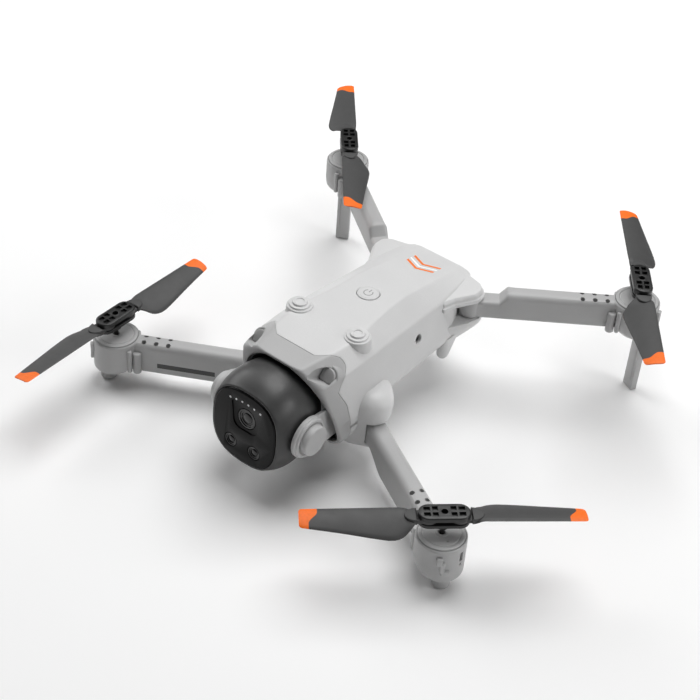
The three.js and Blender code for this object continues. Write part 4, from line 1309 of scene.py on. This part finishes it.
def hub_clamp(corner, outline):
    """The plate over the blades, with eight pockets and a raised ring round its middle hole."""
    plate = prism(outline, -HUB["clamp"], 0, 0.7, 4)
    pockets = [rod(1.6, -3, 1, 0, 0, 32)]
    for way in (-1, 1):
        for row in (-1, 1):
            for x0, x1, y1 in ((2.9, 5.6, 3.3), (6.5, 9.6, 3.0)):
                xs, ys = sorted((way * x0, way * x1)), sorted((row * 0.55, row * y1))
                pockets.append(box(*xs, *ys, -1.3, 1))
    cut(plate, *pockets)
    ring = turned([(1.6, -0.6, 0), (2.5, -0.6, 0), (2.5, 0.12, 0.2), (1.6, 0.12, 0.2)], 0, 0, 32, 2)
    join(plate, ring)
    bevel(plate, 0.16, angle=45)
    finish_piece(plate, f"clamp_plate_{corner}", HUB_BLACK, f"propeller_{corner}",
                 [f"hub_clamp_{corner}"], place=propeller_place(corner))


def blade_ring(radius):
    """A thin cambered section from the trailing edge to the leading edge and back."""
    root = ease((radius - BLADE_START) / 6)
    along = clamp((radius - 19) / (BLADE_REACH - 19))
    end = clamp((radius - BLADE_REACH + 1.6) / 1.6)
    shrink = 1.5 * (1 - sqrt(1 - end * end))
    front = LEADING(radius) - shrink
    back = -TRAILING(radius) + shrink
    pitch = radians(mix(19, 11, along)) * root
    thick = mix(1.5, 0.85, along) * mix(1.0, 0.75, end)
    ring = []
    count = 14
    for k in range(2 * count):
        t = k / count if k <= count else 2 - k / count
        across = mix(back, front, t)
        bow = 0.5 * sin(pi * t) * (1 - 0.4 * along)
        half = thick / 2 * (sin(pi * clamp(t, 0.02, 0.98)) ** 0.45)
        up = bow + (half if k > count else -half)
        ring.append((radius, across * cos(pitch) - up * sin(pitch),
                     across * sin(pitch) + up * cos(pitch) + BLADE_PLANE))
    return ring


def blade_root():
    """The eye round the pivot, the neck beside it and the rounded shoulder over the blade's root."""
    low, high = BLADE_PLANE - BLADE_HALF, BLADE_PLANE + BLADE_HALF
    eye = rod(4.6, low, high, PIVOT, 0, 48, 0.25)
    neck_plan = filleted([(PIVOT, -3.6, 0), (14.6, -3.5, 0), (14.6, 3.5, 0), (PIVOT, 3.6, 0)], 2)
    neck = prism(neck_plan, low, high, 0.3, 2)
    angles = [-pi / 2 + pi * k / 16 for k in range(17)]
    plan = [(BLADE_START + 5.6 * cos(angle), 4.1 * sin(angle)) for angle in angles]
    shoulder = prism([(12.6, -4.1), *plan, (12.6, 4.1)], low, BLADE_PLANE + 1.9, 0.45, 3)
    return eye, neck, shoulder


def tip_value(radius, across):
    """Above zero where the orange tip starts, further out towards the trailing edge."""
    share = clamp((across + 6) / 11.4)
    start = mix(61.6, 57.6, ease((share - 0.25) / 0.5))
    return radius - start


def blade(corner, letter):
    """One blade, drawn along +X of its hub, with the tip value that its paint reads."""
    turn = CORNERS[corner][3]
    radii = [12.8, 13.2, 13.8, 14.6, 15.6, 16.8, 18, 19.4, 21, 23, 26, 30, 35, 40, 45, 50, 54]
    radii += [56 + 0.4 * k for k in range(22)] + [64.8, 65.1, 65.4, 65.65, 65.85, 65.96, BLADE_REACH]
    wing = loft([blade_ring(radius) for radius in radii])
    join(wing, *blade_root())
    cut(wing, rod(1.5, -9, 3, PIVOT, 0, 24))
    mesh = wing.data
    values = mesh.attributes.new("tip", "FLOAT", "POINT")
    for i, vert in enumerate(mesh.vertices):
        values.data[i].value = tip_value(vert.co.x, vert.co.y)
    place = propeller_place(corner)
    if letter == "b":
        place = place @ spin(180)
    if turn < 0:
        place = place @ Matrix.Scale(-1, 4, (0, 1, 0))
    finish_piece(wing, f"blade_{letter}_wing_{corner}", BLADE, f"blade_{letter}_{corner}",
                 [f"blade_{letter}_{corner}"], place=place, sharp=35)


def build_corner(corner):
    motor_arm(corner)
    motor_cap(corner)
    outline = stadium(HUB["length"], HUB["width"], 16)
    hub_base(corner, outline)
    hub_clamp(corner, outline)
    blade(corner, "a")
    blade(corner, "b")


# ---------------------------------------------------------------- printed marks
def chevron(tip_y, thickness, half_width=8.6, rise=4.2):
    """A V pointing to the nose, as one strip of edge points."""
    strip = []
    for k in range(13):
        x = mix(-half_width, half_width, k / 12)
        y = tip_y + rise * abs(x) / half_width
        strip.append(((x, y), (x, y + thickness)))
    return strip


def printed_marks():
    """A plain stripe along the front side of the right front arm, and chevrons near the tail."""
    side = -ARM_HALF_WIDTH
    stripe = bevel(box(32, 63, side - 0.04, side + 0.06, 14.4, 17.4), 0.03, 1)
    finish_piece(stripe, "arm_stripe", DARK_INK, "arm_front_right", place=arm_place(FRONT, -1))
    top_height = TRACKS[1]
    orange = ribbons([chevron(24.6, 1.7), chevron(31.0, 1.7)], top_height, 0.06, 0.05)
    finish_piece(orange, "tail_chevrons", ORANGE, "body")
    white = ribbons([chevron(27.8, 1.3)], top_height, 0.06, 0.05)
    finish_piece(white, "tail_chevron_white", WHITE, "body")


# ---------------------------------------------------------------- camera, floor and lights
def photo_camera():
    """A camera at the photo's angle, with its three angles, target and distance in millimetres."""
    azimuth, elevation, roll = radians(36.33), radians(39.06), radians(4.42)
    target, distance, lens = Vector((29.43, -66.9, 80.47)), 700.0, 76.87
    back = Vector((sin(azimuth) * cos(elevation), -cos(azimuth) * cos(elevation), sin(elevation)))
    right = Vector((cos(azimuth), sin(azimuth), 0))
    up = back.cross(right)
    turned_right = right * cos(roll) + up * sin(roll)
    turned_up = up * cos(roll) - right * sin(roll)
    place = TO_ROW @ (target + back * distance)
    data = bpy.data.cameras.new("photo_camera")
    data.lens = lens
    data.sensor_width = 36.0
    data.clip_start, data.clip_end = 0.01, 20.0
    camera = linked("photo_camera", data)
    axes = Matrix((turned_right, turned_up, back)).transposed().to_4x4()
    camera.matrix_world = Matrix.Translation(place) @ axes
    bpy.context.scene.camera = camera


def floor():
    """A sheet of pale paper just below the feet."""
    made, tree, shader = new_material("floor_paper")
    tune(shader, Roughness=0.9, Specular_IOR_Level=0.1)
    tint = mixed(tree, noise(tree, 6, 3.0), linear(250), linear(253))
    tree.links.new(tint, shader.inputs["Base Color"])
    size = 3.0
    sheet = temporary([(-size, -size, 0), (size, -size, 0), (size, size, 0), (-size, size, 0)],
                      [(0, 1, 2, 3)])
    sheet.name = "floor"
    sheet.data.materials.append(made)
    sheet.location.z = -0.0002


def area_light(name, place, target, size, power):
    data = bpy.data.lights.new(name, "AREA")
    data.shape = "DISK"
    data.size = size
    data.energy = power
    lamp = linked(name, data)
    lamp.location = place
    lamp.rotation_mode = "QUATERNION"
    lamp.rotation_quaternion = (Vector(target) - Vector(place)).to_track_quat("-Z", "Y")


def lights():
    """Three large soft lights and a dim white surround."""
    middle = (0, 0, 0.04)
    area_light("top_light", (-0.1, 0.5, 1.5), middle, 1.4, 21)
    area_light("left_light", (-1.5, 0.1, 1.0), middle, 1.1, 11)
    area_light("right_light", (1.6, 0.5, 0.8), middle, 0.9, 9)
    world = bpy.data.worlds.new("studio")
    world.use_nodes = True
    tune(world.node_tree.nodes["Background"], Color=(1, 1, 1, 1), Strength=0.08)
    bpy.context.scene.world = world


# ---------------------------------------------------------------- build
build_body()
build_camera()
for corner in CORNERS:
    build_corner(corner)
for side, name in SIDES:
    rear_leg(side, name)
printed_marks()
photo_camera()
floor()
lights()
bpy.context.scene.view_settings.view_transform = "Standard"
